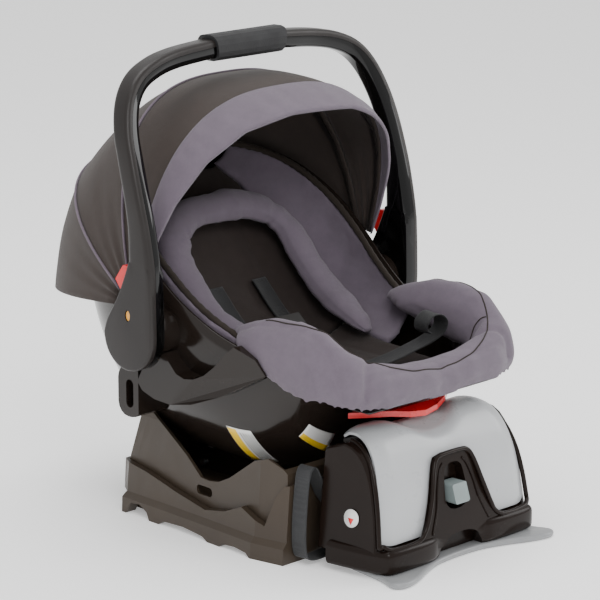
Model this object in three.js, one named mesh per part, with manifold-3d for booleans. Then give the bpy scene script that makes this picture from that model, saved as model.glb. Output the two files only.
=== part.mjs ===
// Rear-facing infant car seat: carrier with handle and canopy, on a belted base.
// Millimetres. +Z is up, the child's feet point to -Y, and +X is the right side
// seen from the feet. The shapes are drawn from an origin on the floor under the base.
import * as THREE from "three";
import { mergeVertices } from "three/addons/utils/BufferGeometryUtils.js";
import Module from "manifold-3d";

const wasm = await Module();
wasm.setup();

// ---- driving dimensions ----
const GAP = 0.4; // clearance between pieces that touch
const BASE_REAR = 246; // rear end of the base
const BASE_HALF_WIDTH = 178; // widest half-width of the base skirt
const BASE_WALL = 4; // plastic wall of the base
const BASE_SPLIT = -70; // where the rear tub of the base ends
const HOUSING_REAR = -98; // rear face of the front housing
const HOUSING_FRONT = -209; // front edge of the housing flange
const HOUSING_HALF_WIDTH = 136; // half-width of the flange at the front
const FLOOR_HEIGHT = 44; // top of the tub floor the carrier stands on
const SHELL_WALL = 4; // plastic wall of the carrier shell
const SHELL_WIDTH_SCALE = 1.03; // scales the carrier shell across
const PAD_THICKNESS = 14;
const FOAM_THICKNESS = 24;
const HUB_Y = 125; // handle pivot
const HUB_Z = 263;
const HUB_RADIUS = 43; // radius of the handle's hub lobe
const HANDLE_HALF_WIDTH = 243; // outer face of the handle arms
const HANDLE_OUTER_THICKNESS = 9; // matte outer half of the handle
const HANDLE_INNER_THICKNESS = 15; // gloss inner half of the handle
const GRIP_Y = 166; // seam of the carrying grip
const GRIP_HEIGHT = 596;
const GRIP_HALF_LENGTH = 61;
const CANOPY_Y = 148; // pivot of the canopy hoops
const CANOPY_Z = 292;
const CANOPY_HALF_WIDTH = 210;
const CANOPY_HEIGHT = 262; // radius of the hoops above their pivot
const FABRIC = 3; // thickness of a canopy panel
const BAR_RADIUS = 4; // steel latch bars
const STRAP_WIDTH = 25;
const STRAP_THICKNESS = 1.8;

const COLOUR = {
  basePlastic: 0x58504a,
  housing: 0x2d2420,
  silver: 0xbec0c2,
  shell: 0x26221f,
  handleMatte: 0x3b3a38,
  handleGloss: 0x0c0c0d,
  red: 0xe12323,
  amber: 0xe8a53a,
  canopy: 0x483c37,
  fabric: 0x7a707e,
  webbing: 0x161618,
  button: 0x8a9696,
  steel: 0xb8babd,
  foam: 0xe6e4de,
};

const group = new THREE.Group();
group.name = "infant_car_seat";

// ---- geometry helpers ----

// A closed solid from points and triangles, turned so that its faces point out.
function solid(points, triangles) {
  let volume = 0;
  for (const [a, b, c] of triangles) {
    volume += points[a].dot(points[b].clone().cross(points[c]));
  }
  const geometry = new THREE.BufferGeometry().setFromPoints(points);
  const faces = triangles.map(([a, b, c]) => (volume > 0 ? [a, b, c] : [a, c, b]));
  geometry.setIndex(faces.flat());
  return geometry;
}

// Triangles that fill one closed ring, worked out in the plane it is widest in.
function capTriangles(ring, start) {
  const box = new THREE.Box3().setFromPoints(ring);
  const size = box.getSize(new THREE.Vector3());
  const axes = ["x", "y", "z"].sort((a, b) => size[b] - size[a]);
  const flat = ring.map((p) => new THREE.Vector2(p[axes[0]], p[axes[1]]));
  const reversed = THREE.ShapeUtils.isClockWise(flat);
  const order = flat.map((_, i) => (reversed ? flat.length - 1 - i : i));
  const outline = order.map((i) => flat[i]);
  const faces = THREE.ShapeUtils.triangulateShape(outline, []);
  return faces.map((face) => {
    const [a, b, c] = face.map((i) => start + order[i]);
    return reversed ? [a, c, b] : [a, b, c];
  });
}

// A closed solid drawn through a row of rings that all have as many points.
function skin(rings) {
  const count = rings[0].length;
  const triangles = [];
  for (let r = 0; r + 1 < rings.length; r += 1) {
    for (let i = 0; i < count; i += 1) {
      const a = r * count + i;
      const b = r * count + ((i + 1) % count);
      triangles.push([a, b, b + count], [a, b + count, a + count]);
    }
  }
  const last = (rings.length - 1) * count;
  const ends = [capTriangles(rings[0], 0), capTriangles(rings[rings.length - 1], last)];
  const edge = new Set();
  for (const [a, b, c] of triangles) {
    edge.add(`${a},${b}`);
    edge.add(`${b},${c}`);
    edge.add(`${c},${a}`);
  }
  for (const cap of ends) {
    const clash = cap.some(([a, b, c]) => {
      return [`${a},${b}`, `${b},${c}`, `${c},${a}`].some((key) => edge.has(key));
    });
    triangles.push(...cap.map(([a, b, c]) => (clash ? [a, c, b] : [a, b, c])));
  }
  return solid(rings.flat(), triangles);
}

// A plate between an outer and an inner surface, both given as point(u, v, depth).
function plate(point, u, v, depth, steps) {
  const [rows, columns] = steps;
  const rings = [];
  for (let i = 0; i <= rows; i += 1) {
    const a = u[0] + ((u[1] - u[0]) * i) / rows;
    const outer = [];
    const inner = [];
    for (let j = 0; j <= columns; j += 1) {
      const b = v[0] + ((v[1] - v[0]) * j) / columns;
      outer.push(point(a, b, depth[0]));
      inner.unshift(point(a, b, depth[1]));
    }
    rings.push([...outer, ...inner]);
  }
  return plateFromRings(rings, columns);
}

// The ends of a plate are strips between its two surfaces. The diagonals are the same
// on both surfaces, so that the wall keeps its thickness, and mirror left to right.
function plateFromRings(rings, columns) {
  const count = rings[0].length;
  const triangles = [];
  for (let r = 0; r + 1 < rings.length; r += 1) {
    for (let i = 0; i < count; i += 1) {
      const a = r * count + i;
      const b = r * count + ((i + 1) % count);
      const outer = i < columns;
      const column = outer ? i : count - 2 - i;
      if (outer === column < columns / 2) {
        triangles.push([a, b, a + count], [b, b + count, a + count]);
      } else {
        triangles.push([a, b, b + count], [a, b + count, a + count]);
      }
    }
  }
  for (const [start, flip] of [[0, true], [(rings.length - 1) * count, false]]) {
    for (let j = 0; j < columns; j += 1) {
      const a = start + j;
      const b = start + j + 1;
      const c = start + count - 2 - j;
      const d = start + count - 1 - j;
      const strip = [[a, b, c], [a, c, d]];
      triangles.push(...strip.map(([p, q, s]) => (flip ? [p, s, q] : [p, q, s])));
    }
  }
  return solid(rings.flat(), triangles);
}

// A prism along one axis; the outline is in the other two, in alphabetical order.
function prism(axis, outline, from, to) {
  const place = {
    x: (a, b, t) => new THREE.Vector3(t, a, b),
    y: (a, b, t) => new THREE.Vector3(a, t, b),
    z: (a, b, t) => new THREE.Vector3(a, b, t),
  }[axis];
  return skin([from, to].map((t) => outline.map(([a, b]) => place(a, b, t))));
}

function roundedOutline(width, height, radius, corner = 3) {
  const points = [];
  for (const [sx, sy, start] of [[1, 1, 0], [-1, 1, 1], [-1, -1, 2], [1, -1, 3]]) {
    for (let i = 0; i <= corner; i += 1) {
      const angle = ((start + i / corner) * Math.PI) / 2;
      points.push([
        sx * (width / 2 - radius) + radius * Math.cos(angle),
        sy * (height / 2 - radius) + radius * Math.sin(angle),
      ]);
    }
  }
  return points;
}

function shifted(outline, a, b) {
  return outline.map(([p, q]) => [p + a, q + b]);
}

// A circle or ellipse as an outline.
function ellipse(a, b, centre = [0, 0], count = 24) {
  return Array.from({ length: count }, (_, i) => {
    const angle = (2 * Math.PI * i) / count;
    return [centre[0] + a * Math.cos(angle), centre[1] + b * Math.sin(angle)];
  });
}

// A rounded outline carried along a row of points; side is its width direction.
function sweep(path, outline, side) {
  const rings = path.map((point, i) => {
    const before = path[Math.max(i - 1, 0)];
    const after = path[Math.min(i + 1, path.length - 1)];
    const tangent = after.clone().sub(before).normalize();
    const across = (typeof side === "function" ? side(i) : side).clone();
    across.addScaledVector(tangent, -across.dot(tangent)).normalize();
    const up = tangent.clone().cross(across);
    return outline.map(([a, b]) => {
      return point.clone().addScaledVector(across, a).addScaledVector(up, b);
    });
  });
  return skin(rings);
}

// Smooth values through the rows of a table whose first column is the position.
function along(table, t) {
  const last = table.length - 1;
  let i = 0;
  while (i < last - 1 && t > table[i + 1][0]) i += 1;
  const from = table[i];
  const to = table[i + 1];
  const span = to[0] - from[0];
  const s = Math.min(Math.max((t - from[0]) / span, 0), 1);
  const slope = (k, column) => {
    const a = table[Math.max(k - 1, 0)];
    const b = table[Math.min(k + 1, last)];
    return (b[column] - a[column]) / (b[0] - a[0]);
  };
  return from.map((value, column) => {
    if (column === 0) return t;
    const h = s * s * (3 - 2 * s);
    const rise = s * (1 - s) * (1 - s) * span * slope(i, column);
    const fall = s * s * (s - 1) * span * slope(i + 1, column);
    return value * (1 - h) + to[column] * h + rise + fall;
  });
}

function toManifold(geometry) {
  const bare = new THREE.BufferGeometry();
  bare.setAttribute("position", geometry.getAttribute("position").clone());
  if (geometry.index) bare.setIndex(geometry.index.clone());
  const merged = mergeVertices(bare, 1e-4);
  return new wasm.Manifold(
    new wasm.Mesh({
      numProp: 3,
      vertProperties: new Float32Array(merged.getAttribute("position").array),
      triVerts: new Uint32Array(merged.index.array),
    }),
  );
}

// Back to a geometry, with points nearer than 0.02 mm drawn together.
function toGeometry(manifold) {
  const { vertProperties, triVerts } = manifold.getMesh();
  const geometry = new THREE.BufferGeometry();
  geometry.setAttribute("position", new THREE.BufferAttribute(new Float32Array(vertProperties), 3));
  geometry.setIndex(Array.from(triVerts));
  const merged = mergeVertices(geometry, 0.02);
  const index = Array.from(merged.index.array);
  const kept = [];
  for (let i = 0; i < index.length; i += 3) {
    const [a, b, c] = index.slice(i, i + 3);
    if (a !== b && b !== c && c !== a) kept.push(a, b, c);
  }
  merged.setIndex(kept);
  return merged;
}

function cut(geometry, ...tools) {
  let body = toManifold(geometry);
  for (const tool of tools) body = body.subtract(toManifold(tool));
  return toGeometry(body);
}

function join(...pieces) {
  let body = toManifold(pieces[0]);
  for (const piece of pieces.slice(1)) body = body.add(toManifold(piece));
  return toGeometry(body);
}

function common(first, second) {
  return toGeometry(toManifold(first).intersect(toManifold(second)));
}

// The same solid on the other side of the middle plane.
function mirrored(geometry) {
  const copy = geometry.clone();
  const position = copy.getAttribute("position");
  for (let i = 0; i < position.count; i += 1) position.setX(i, -position.getX(i));
  const index = Array.from(copy.index.array);
  for (let i = 0; i < index.length; i += 3) {
    [index[i + 1], index[i + 2]] = [index[i + 2], index[i + 1]];
  }
  copy.setIndex(index);
  return copy;
}

function bent(geometry, change) {
  const copy = geometry.clone();
  const position = copy.getAttribute("position");
  const point = new THREE.Vector3();
  for (let i = 0; i < position.count; i += 1) {
    point.fromBufferAttribute(position, i);
    change(point);
    position.setXYZ(i, point.x, point.y, point.z);
  }
  return copy;
}

function add(name, geometry, color, roughness = 0.5, metalness = 0) {
  geometry.computeVertexNormals();
  const material = new THREE.MeshStandardMaterial({ color, roughness, metalness });
  const mesh = new THREE.Mesh(geometry, material);
  mesh.name = name;
  group.add(mesh);
}

function addPair(name, geometry, color, roughness, metalness) {
  add(`${name}_right`, geometry, color, roughness, metalness);
  add(`${name}_left`, mirrored(geometry), color, roughness, metalness);
}

const vector = (x, y, z) => new THREE.Vector3(x, y, z);
const X_AXIS = vector(1, 0, 0);

// ---- carrier surfaces: the outside of the shell and the top of the padding ----

// position, half-width, rim y and z, lowest y and z
const SHELL_STATIONS = [
  [0, 112, -158, 194, -152, 191],
  [1, 134, -132, 206, -122, 191],
  [2, 148, -84, 226, -88, 184],
  [3, 158, -24, 247, -46, 98],
  [4, 168, 38, 268, 26, 66],
  [5, 178, 88, 298, 106, 62],
  [6, 184, 132, 334, 196, 68],
  [7, 185, 172, 366, 262, 88],
  [8, 180, 212, 392, 312, 150],
  [9, 168, 248, 412, 338, 224],
  [10, 142, 282, 427, 352, 298],
  [11, 96, 306, 436, 356, 366],
];
const SEAT_STATIONS = [
  [0, 100, -148, 203, -148, 200],
  [1, 118, -124, 213, -122, 204],
  [2, 130, -80, 231, -78, 208],
  [3, 138, -24, 252, -30, 209],
  [4, 146, 36, 273, 34, 209],
  [5, 156, 84, 303, 84, 213],
  [6, 162, 126, 340, 130, 228],
  [7, 162, 164, 372, 172, 264],
  [8, 156, 202, 398, 206, 308],
  [9, 143, 237, 418, 236, 352],
  [10, 116, 270, 433, 266, 392],
  [11, 74, 294, 443, 290, 426],
];
const STATION_COUNT = SHELL_STATIONS.length - 1;
const SHELL_STEPS = [16, 14];
const FITTED_FROM = 110;

// u runs from the feet (0) to the head (1), v from the left rim (-1) to the right (1).
function section(stations, u, v, squareness) {
  const [, half, rimY, rimZ, lowY, lowZ] = along(stations, u * STATION_COUNT);
  const angle = (v * Math.PI) / 2;
  const out = Math.sign(v) * Math.abs(Math.sin(angle)) ** (2 / squareness);
  const down = Math.cos(angle) ** (2 / squareness);
  const x = half * SHELL_WIDTH_SCALE * out;
  return vector(x, rimY + (lowY - rimY) * down, rimZ + (lowZ - rimZ) * down);
}

const shellPoint = (u, v) => section(SHELL_STATIONS, u, v, 2.15);
const seatPoint = (u, v) => section(SEAT_STATIONS, u, v, 2.5);

// A point a given depth in from the outside of the shell.
function inShell(u, v, depth) {
  const from = shellPoint(u, v);
  const inward = seatPoint(u, v).sub(from).normalize();
  return from.addScaledVector(inward, depth);
}

// A point a given depth below the top of the padding (negative is above it).
function underSeat(u, v, depth) {
  const from = seatPoint(u, v);
  const outward = shellPoint(u, v).sub(from);
  const room = outward.length() - SHELL_WALL - 3;
  return from.addScaledVector(outward.normalize(), Math.min(depth, room));
}

// The whole space the shell takes, closed across its mouth, grown all round.
function shellSpace(grow) {
  const point = (u, v, mouth) => {
    if (mouth === 0) return inShell(u, v, -grow);
    const rim = inShell(u, 1, -grow);
    return vector(rim.x * v, rim.y, rim.z + 60);
  };
  return plate(point, [0, 1], [-1, 1], [0, 1], SHELL_STEPS);
}

// A piece on each side of the shell, cut to its surface and by the given solids.
// Its blank starts well inside the shell, at FITTED_FROM.
function addFitted(name, blank, tools, color, roughness) {
  const space = shellSpace(GAP);
  add(`${name}_right`, cut(blank, space, ...tools), color, roughness);
  add(`${name}_left`, cut(mirrored(blank), space, ...tools), color, roughness);
}

// ---- base ----

// Half-width of the base skirt along its length.
const BASE_PLAN = [
  [-78, 168],
  [-56, BASE_HALF_WIDTH + 4],
  [0, BASE_HALF_WIDTH],
  [80, BASE_HALF_WIDTH - 8],
  [160, BASE_HALF_WIDTH - 15],
  [225, BASE_HALF_WIDTH - 20],
  [240, BASE_HALF_WIDTH - 25],
  [BASE_REAR, BASE_HALF_WIDTH - 42],
];

// Outline of the base in plan, drawn in by inset.
function basePlan(inset, from, to) {
  const side = [];
  for (let i = 0; i <= 10; i += 1) {
    const t = i / 10;
    const y = from + (to - from) * t * (1.6 - 0.6 * t);
    side.push([along(BASE_PLAN, y)[1] - inset, y]);
  }
  return [...side, ...side.map(([x, y]) => [-x, y]).reverse()];
}

function ringAt(outline, z) {
  return outline.map(([x, y]) => vector(x, y, z));
}

// Skirt: an outer band with a wavy top edge and feet at the floor.
const skirtOuter = skin([
  ringAt(basePlan(0, BASE_SPLIT, BASE_REAR), 0),
  ringAt(basePlan(1, BASE_SPLIT, BASE_REAR), 20),
  ringAt(basePlan(7, BASE_SPLIT, BASE_REAR - 4), 27),
  ringAt(basePlan(14, BASE_SPLIT, BASE_REAR - 5), 110),
]);
const skirtInner = skin([
  ringAt(basePlan(17.5, BASE_SPLIT + 5, BASE_REAR - 9), -1),
  ringAt(basePlan(18, BASE_SPLIT + 5, BASE_REAR - 9.5), 111),
]);
const skirtSide = prism(
  "x",
  [
    [-80, -1], [-80, 99], [-62, 96], [-50, 80], [-36, 42], [-18, 48], [6, 57],
    [37, 44], [75, 37], [134, 47], [194, 60], [250, 67], [250, -1],
  ],
  -200,
  200,
);
const neckSide = shifted(roundedOutline(176 + 2 * GAP, 36 + 2 * GAP, 5, 2), 0, 39);
const skirtArches = [
  prism("y", neckSide, BASE_SPLIT - 10, BASE_SPLIT + 10),
  prism("x", [[176, -1], [182, 10], [196, 17], [214, 15], [224, -1]], -200, 200),
  prism("x", [[60, -1], [72, 5], [110, 8], [148, 6], [160, -1]], -200, 200),
  prism("x", [[-20, -1], [-12, 5], [10, 7], [32, 5], [40, -1]], -200, 200),
];
const ribHalf = along(BASE_PLAN, 50)[1] - 14;
const crossRib = prism("x", [[44, 0], [56, 0], [56, 3.5], [44, 3.5]], -ribHalf, ribHalf);
add(
  "base_skirt",
  join(cut(common(skirtOuter, skirtSide), skirtInner, ...skirtArches), crossRib),
  COLOUR.basePlastic,
  0.55,
);

// Tub: the raised walls and the floor that the carrier stands in.
const tubOuter = skin([
  ringAt(basePlan(18.5 + GAP, BASE_SPLIT + 6, BASE_REAR - 10), 4),
  ringAt(basePlan(19 + GAP, BASE_SPLIT + 6, BASE_REAR - 11), 70),
  ringAt(basePlan(20, BASE_SPLIT + 6, BASE_REAR - 34), 128),
  ringAt(basePlan(22, BASE_SPLIT + 6, BASE_REAR - 48), 142),
]);
const tubSide = prism(
  "x",
  [
    [-72, 3], [-72, 104], [-58, 115], [-32, 124], [-8, 116], [39, 84], [60, 74], [78, 71],
    [95, 72], [122, 94], [160, 118], [186, 134], [197, 137], [216, 126], [250, 90], [250, 3],
  ],
  -200,
  200,
);
const tubInner = skin([
  ringAt(basePlan(24, BASE_SPLIT + 12, BASE_REAR - 17), FLOOR_HEIGHT),
  ringAt(basePlan(24, BASE_SPLIT + 12, BASE_REAR - 18), 72),
  ringAt(basePlan(25, BASE_SPLIT + 12, BASE_REAR - 40), 129),
  ringAt(basePlan(26, BASE_SPLIT + 12, BASE_REAR - 52), 143),
]);
const tubUnder = skin([
  ringAt(basePlan(23, BASE_SPLIT + 10, BASE_REAR - 15), 2),
  ringAt(basePlan(24, BASE_SPLIT + 10, BASE_REAR - 15), FLOOR_HEIGHT - BASE_WALL),
]);
const beltPath = prism("x", shifted(roundedOutline(30, 12, 5), 88, 56), -200, 200);
const neck = prism("y", shifted(roundedOutline(176, 36, 5, 2), 0, 39), -140, BASE_SPLIT + 9);
add(
  "base_tub",
  join(cut(common(tubOuter, tubSide), tubInner, tubUnder, shellSpace(3), beltPath), neck),
  COLOUR.basePlastic,
  0.5,
);

const HOOD_PROFILE = [
  [0, -104, 163, 106],
  [1, -118, 170, 109],
  [2, -137, 171, 112],
  [3, -157, 163, 116],
  [4, -173, 145, 120],
  [5, -184, 119, 125],
  [6, -191, 88, 129],
  [7, -195, 56, 132],
];
const HOOD_LAST = HOOD_PROFILE.length - 1;

// How far the thumb recess in the top of the hood goes down: a shallow dish, open at
// the rear edge, with a deeper oval in its floor.
function thumbRecess(x, u) {
  const dish = Math.hypot(x / 54, Math.max(u - 0.1, 0) / 0.42);
  const oval = Math.hypot(x / 35, (u - 0.34) / 0.13);
  const step = (value) => 1 / (1 + Math.exp((value - 1) * 16));
  return 8 * step(dish) + 5 * Math.max(0, 1 - oval ** 2);
}

// A point on the hood, the curved silver cover.
function hoodPoint(u, v, depth) {
  const [, y, z, half] = along(HOOD_PROFILE, u * HOOD_LAST);
  const before = along(HOOD_PROFILE, Math.max(u - 0.02, 0) * HOOD_LAST);
  const after = along(HOOD_PROFILE, Math.min(u + 0.02, 1) * HOOD_LAST);
  const normal = vector(0, after[2] - before[2], -(after[1] - before[1])).normalize();
  const roll = 13 * Math.max(0, Math.abs(v) - 0.8) ** 2 * 25;
  const point = vector(v * half, y, z);
  return point.addScaledVector(normal, -(depth + roll * 0.5 + thumbRecess(v * half, u)));
}

// Front housing: side cheeks, a centre tower and a flange round the foot.
const hoodProfile = Array.from({ length: 11 }, (_, i) => {
  return along(HOOD_PROFILE, (i * HOOD_LAST) / 10).slice(1, 3);
});
const underHood = hoodProfile.map(([y, z]) => [y + 6, z - 10]);
const housingPlan = [
  [150, HOUSING_REAR], [-150, HOUSING_REAR], [-146, -150], [-HOUSING_HALF_WIDTH, -203],
  [-128, HOUSING_FRONT], [-52, HOUSING_FRONT], [-36, -200], [36, -200], [52, HOUSING_FRONT],
  [128, HOUSING_FRONT], [HOUSING_HALF_WIDTH, -203], [146, -150],
];
function housingRing(z, inset) {
  return housingPlan.map(([x, y]) => {
    return vector(x * (1 - inset / 150), Math.max(y, HOUSING_FRONT + inset), z);
  });
}
const housingFlange = skin([housingRing(9, 0), housingRing(32, 0), housingRing(38, 5)]);
const cheekShape = [
  [HOUSING_REAR - 0.6, 24], [HOUSING_REAR - 0.6, 138], [-101, 146], [-107, 146], [-126, 136],
  [-150, 115], [-168, 92], [-180, 66], [-186, 50], [-190, 24],
];
const cheek = bent(prism("x", cheekShape, 129, 143), (p) => {
  p.x -= (p.z - 30) * 0.1 + Math.max(0, -150 - p.y) * 0.22;
});
const housingCore = prism(
  "x",
  [[HOUSING_REAR - 1.1, 21], ...underHood, [-182, 21]],
  -98,
  98,
);
const towerOutline = [
  [-58, 27], [-50, 52], [-40, 84], [-31, 118], [-25, 127], [25, 127], [31, 118], [40, 84],
  [50, 52], [58, 27],
];
const tower = bent(prism("y", towerOutline, -203, -150), (p) => {
  if (p.y < -180) p.y = -205 + (p.z - 30) * 0.2;
});
const housingHollow = prism(
  "x",
  [[HOUSING_REAR + 5, 8], [HOUSING_REAR + 5, 62], [-104, 120], [-130, 120], [-160, 92],
    [-172, 60], [-176, 8]],
  -92,
  92,
);
const BUTTON_Z = 82;
const buttonBay = bent(prism("y", shifted(roundedOutline(44, 56, 8), 0, BUTTON_Z + 8), -215, -178),
  (p) => {
    if (p.z > BUTTON_Z + 20) p.x *= 0.82;
  });
const buttonShaft = prism("y", shifted(roundedOutline(27, 25, 3), 0, BUTTON_Z), -215, -140);
const archOutline = [[-40, 8], [-34, 26], [-20, 36], [20, 36], [34, 26], [40, 8]];
const archBay = prism("y", archOutline, -215, -186);
const HOOD_STEPS = [18, 24];
const hoodSpace = plate(hoodPoint, [0, 1], [-1.02, 1.02], [-30, 3 + GAP], HOOD_STEPS);
const housingBody = cut(join(housingFlange, cheek, mirrored(cheek), housingCore), hoodSpace);
add(
  "front_housing",
  cut(join(housingBody, tower), housingHollow, buttonBay, buttonShaft, archBay),
  COLOUR.housing,
  0.35,
);

// Hood, cut out round the tower.
const hoodTowerCut = prism(
  "y",
  [[-66, 30], [-55, 54], [-44, 84], [-35, 120], [-28, 131], [28, 131], [35, 120], [44, 84],
    [55, 54], [66, 30]],
  -230,
  -120,
);
add(
  "hood",
  cut(plate(hoodPoint, [0, 1], [-1, 1], [0, 3], HOOD_STEPS), hoodTowerCut),
  COLOUR.silver,
  0.3,
  0.35,
);

// Recline button in the tower bay.
add(
  "recline_button",
  bent(prism("y", shifted(roundedOutline(26, 24, 3), 0, BUTTON_Z), -206, -179), (p) => {
    if (p.y < -190 && p.z > BUTTON_Z) p.y += 6;
  }),
  COLOUR.button,
  0.35,
);

// Recline foot: a wing-shaped plate that swings down under the front of the base.
const footOutline = [
  [-126, -130], [-132, -160], [-140, -205], [-150, -226], [-138, -236], [-112, -232],
  [-70, -214], [-34, -203], [34, -203], [70, -214], [112, -232], [138, -236], [150, -226],
  [140, -205], [132, -160], [126, -130],
];
add("recline_foot", prism("z", footOutline, 0.2, 8.2), COLOUR.silver, 0.3, 0.35);

// Red release lever between the hood and the carrier.
const LEVER_Z = 174;
const leverOutline = [
  [-92, -101], [-76, -114], [-50, -132], [-24, -142], [0, -145], [24, -142], [50, -132],
  [76, -114], [92, -101], [60, -98.5], [0, -98.5], [-60, -98.5],
];
add(
  "release_lever",
  bent(prism("z", leverOutline, LEVER_Z, LEVER_Z + 7), (p) => {
    if (p.y < -120) p.z -= 6 * Math.max(0, 1 - (p.x / 40) ** 2);
  }),
  COLOUR.red,
  0.3,
);

// Latch hooks stand on the tub floor and close over the carrier's two steel bars.
const FRONT_BAR = { y: -34, z: 66 };
const REAR_BAR = { y: 186, z: 53 };
const HOOK_HALF = 12;
const HOOK_GAP = 1;
function hookShape(bar, toward) {
  const reach = BAR_RADIUS + HOOK_GAP;
  const shape = [
    [18, FLOOR_HEIGHT + GAP - bar.z], [8, FLOOR_HEIGHT + GAP - bar.z], [8, -1],
    [8, 2], [reach, 4.5], [reach, 7], [11, 8], [18, 3],
  ];
  return shape.map(([a, b]) => [bar.y + toward * a, bar.z + b]);
}
for (const [name, bar, toward] of [["front", FRONT_BAR, 1], ["rear", REAR_BAR, -1]]) {
  const hook = prism("x", hookShape(bar, toward), -HOOK_HALF, HOOK_HALF);
  add(`latch_hook_${name}`, hook, COLOUR.steel, 0.35, 0.9);
}

// Anchor webbing: over the neck, up to both shoulders and down the outside.
const NOTCH_Y = (BASE_SPLIT + HOUSING_REAR) / 2;
const webbingHalf = [
  [0, 59], [50, 59], [96, 60], [118, 78], [131, 104], [140, 120], [147, 121], [153, 110],
  [158, 72], [160, 36], [157, 14], [148, 7.5], [128, 6.5], [100, 9], [88, 11],
];
const webbingPath = [
  ...webbingHalf.slice(1).reverse().map(([x, z]) => [-x, z]),
  ...webbingHalf,
];
add(
  "anchor_webbing",
  sweep(
    webbingPath.map(([x, z]) => vector(x, NOTCH_Y, z)),
    [[-12, -0.9], [12, -0.9], [12, 0.9], [-12, 0.9]],
    vector(0, 1, 0),
  ),
  COLOUR.webbing,
  0.8,
);

// Anchor connectors, stowed flat under the neck.
const connector = cut(
  prism("z", shifted(roundedOutline(56, 22, 4, 2), 59.5, NOTCH_Y), 5, 17),
  prism("z", shifted(roundedOutline(26, 8, 3, 2), 40, NOTCH_Y), 2, 20),
);
addPair("anchor_connector", connector, COLOUR.steel, 0.35, 0.9);

// ---- carrier ----
const shell = plate(inShell, [0, 1], [-1, 1], [0, SHELL_WALL], SHELL_STEPS);
add("carrier_shell", shell, COLOUR.shell, 0.18);

// Rocker runners under the shell, with the latch bars through them.
const runnerSide = [
  [-52, 124], [-51, 92], [-44, 68], [-34, 54], [-16, FLOOR_HEIGHT + GAP],
  [196, FLOOR_HEIGHT + GAP], [208, 50], [215, 62], [215, 110],
];
const barHoles = [FRONT_BAR, REAR_BAR].map(({ y, z }) => {
  return prism("x", ellipse(BAR_RADIUS + GAP, BAR_RADIUS + GAP, [y, z], 16), 30, 80);
});
const RUNNER_INNER = 46;
const RUNNER_THICKNESS = 8;
const runner = cut(
  prism("x", runnerSide, RUNNER_INNER, RUNNER_INNER + RUNNER_THICKNESS),
  ...barHoles,
);
addFitted("runner", runner, [], COLOUR.shell, 0.25);
for (const [name, { y, z }] of [["front", FRONT_BAR], ["rear", REAR_BAR]]) {
  const bar = prism("x", ellipse(BAR_RADIUS, BAR_RADIUS, [y, z], 16), -58, 58);
  add(`latch_bar_${name}`, bar, COLOUR.steel, 0.3, 0.9);
}

// Apron: a puffy horseshoe over the front rim. Rows: x, y, ridge z, hem z.
const apronHalf = [
  [0, -151, 240, 194], [50, -153, 243, 195], [100, -151, 252, 197], [131, -141, 268, 200],
  [144, -112, 290, 205], [145, -70, 298, 213], [144, -30, 296, 231], [142, 10, 284, 247],
  [141, 44, 272, 262],
];
const apronPath = [
  ...apronHalf.slice(1).reverse().map(([x, ...rest]) => [-x, ...rest]),
  ...apronHalf,
];
const apronShape = [
  [24, 0], [27, 0.3], [21, 0.72], [8, 0.97], [-8, 0.98], [-20, 0.72], [-27, 0.4], [-28, 0.24],
];
const apronHollow = [[-14, 0.18], [2, 0.3], [15, 0.2]];
function apronSolid(grow) {
  return skin(apronPath.map((row, i) => apronRing(row, i, grow)));
}
function apronRing([x, y, top, hem], i, grow) {
  const before = apronPath[Math.max(i - 1, 0)];
  const after = apronPath[Math.min(i + 1, apronPath.length - 1)];
  const outward = vector(after[1] - before[1], before[0] - after[0], 0).normalize();
  const taper = i === 0 || i === apronPath.length - 1 ? 0.55 : 1;
  const size = 1 + grow / 20;
  const shape = grow > 0 ? apronShape : [...apronShape, ...apronHollow];
  return shape.map(([out, rise]) => {
    const z = hem + (top - hem) * (0.5 + (rise - 0.5) * taper * size);
    return vector(x, y, z).addScaledVector(outward, out * taper * size);
  });
}

// Belt guides: sling-shaped wings with an open hook for the lap belt.
const GUIDE_OUTER = 199;
const guideSide = [
  [121, 252], [140, 222], [155, 194], [146, 184], [125, 177], [97, 175], [60, 182], [20, 197],
  [-11, 213], [-44, 232], [-30, 250], [0, 262], [13, 250], [28, 233], [42, 221], [57, 214],
  [72, 212], [86, 216], [98, 228], [110, 246],
];
const guide = bent(prism("x", guideSide, FITTED_FROM, GUIDE_OUTER), (p) => {
  if (p.x > GUIDE_OUTER - 1) p.x -= Math.max(0, 60 - p.y) * 0.22;
});
const BOSS_RADIUS = 30;
const bossOutline = ellipse(BOSS_RADIUS + 0.8, BOSS_RADIUS + 0.8, [HUB_Y, HUB_Z]);
const bossSpace = prism("x", bossOutline, -230, 230);
addFitted("belt_guide", guide, [bossSpace, apronSolid(3)], COLOUR.shell, 0.22);

// Slot brackets under the handle hubs.
const bracketSide = shifted(roundedOutline(42, 66, 18, 4), 171, 178);
const bracketSlot = prism("x", shifted(roundedOutline(13, 36, 6.4, 4), 171, 175), 100, 220);
const bracketEdge = prism("x", [[100, 100], [155.5, 100], [155.5, 230], [100, 230]], 100, 230);
const bracket = cut(prism("x", bracketSide, FITTED_FROM, 197), bracketSlot, bracketEdge);
addFitted("slot_bracket", bracket, [], COLOUR.shell, 0.3);

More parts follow.
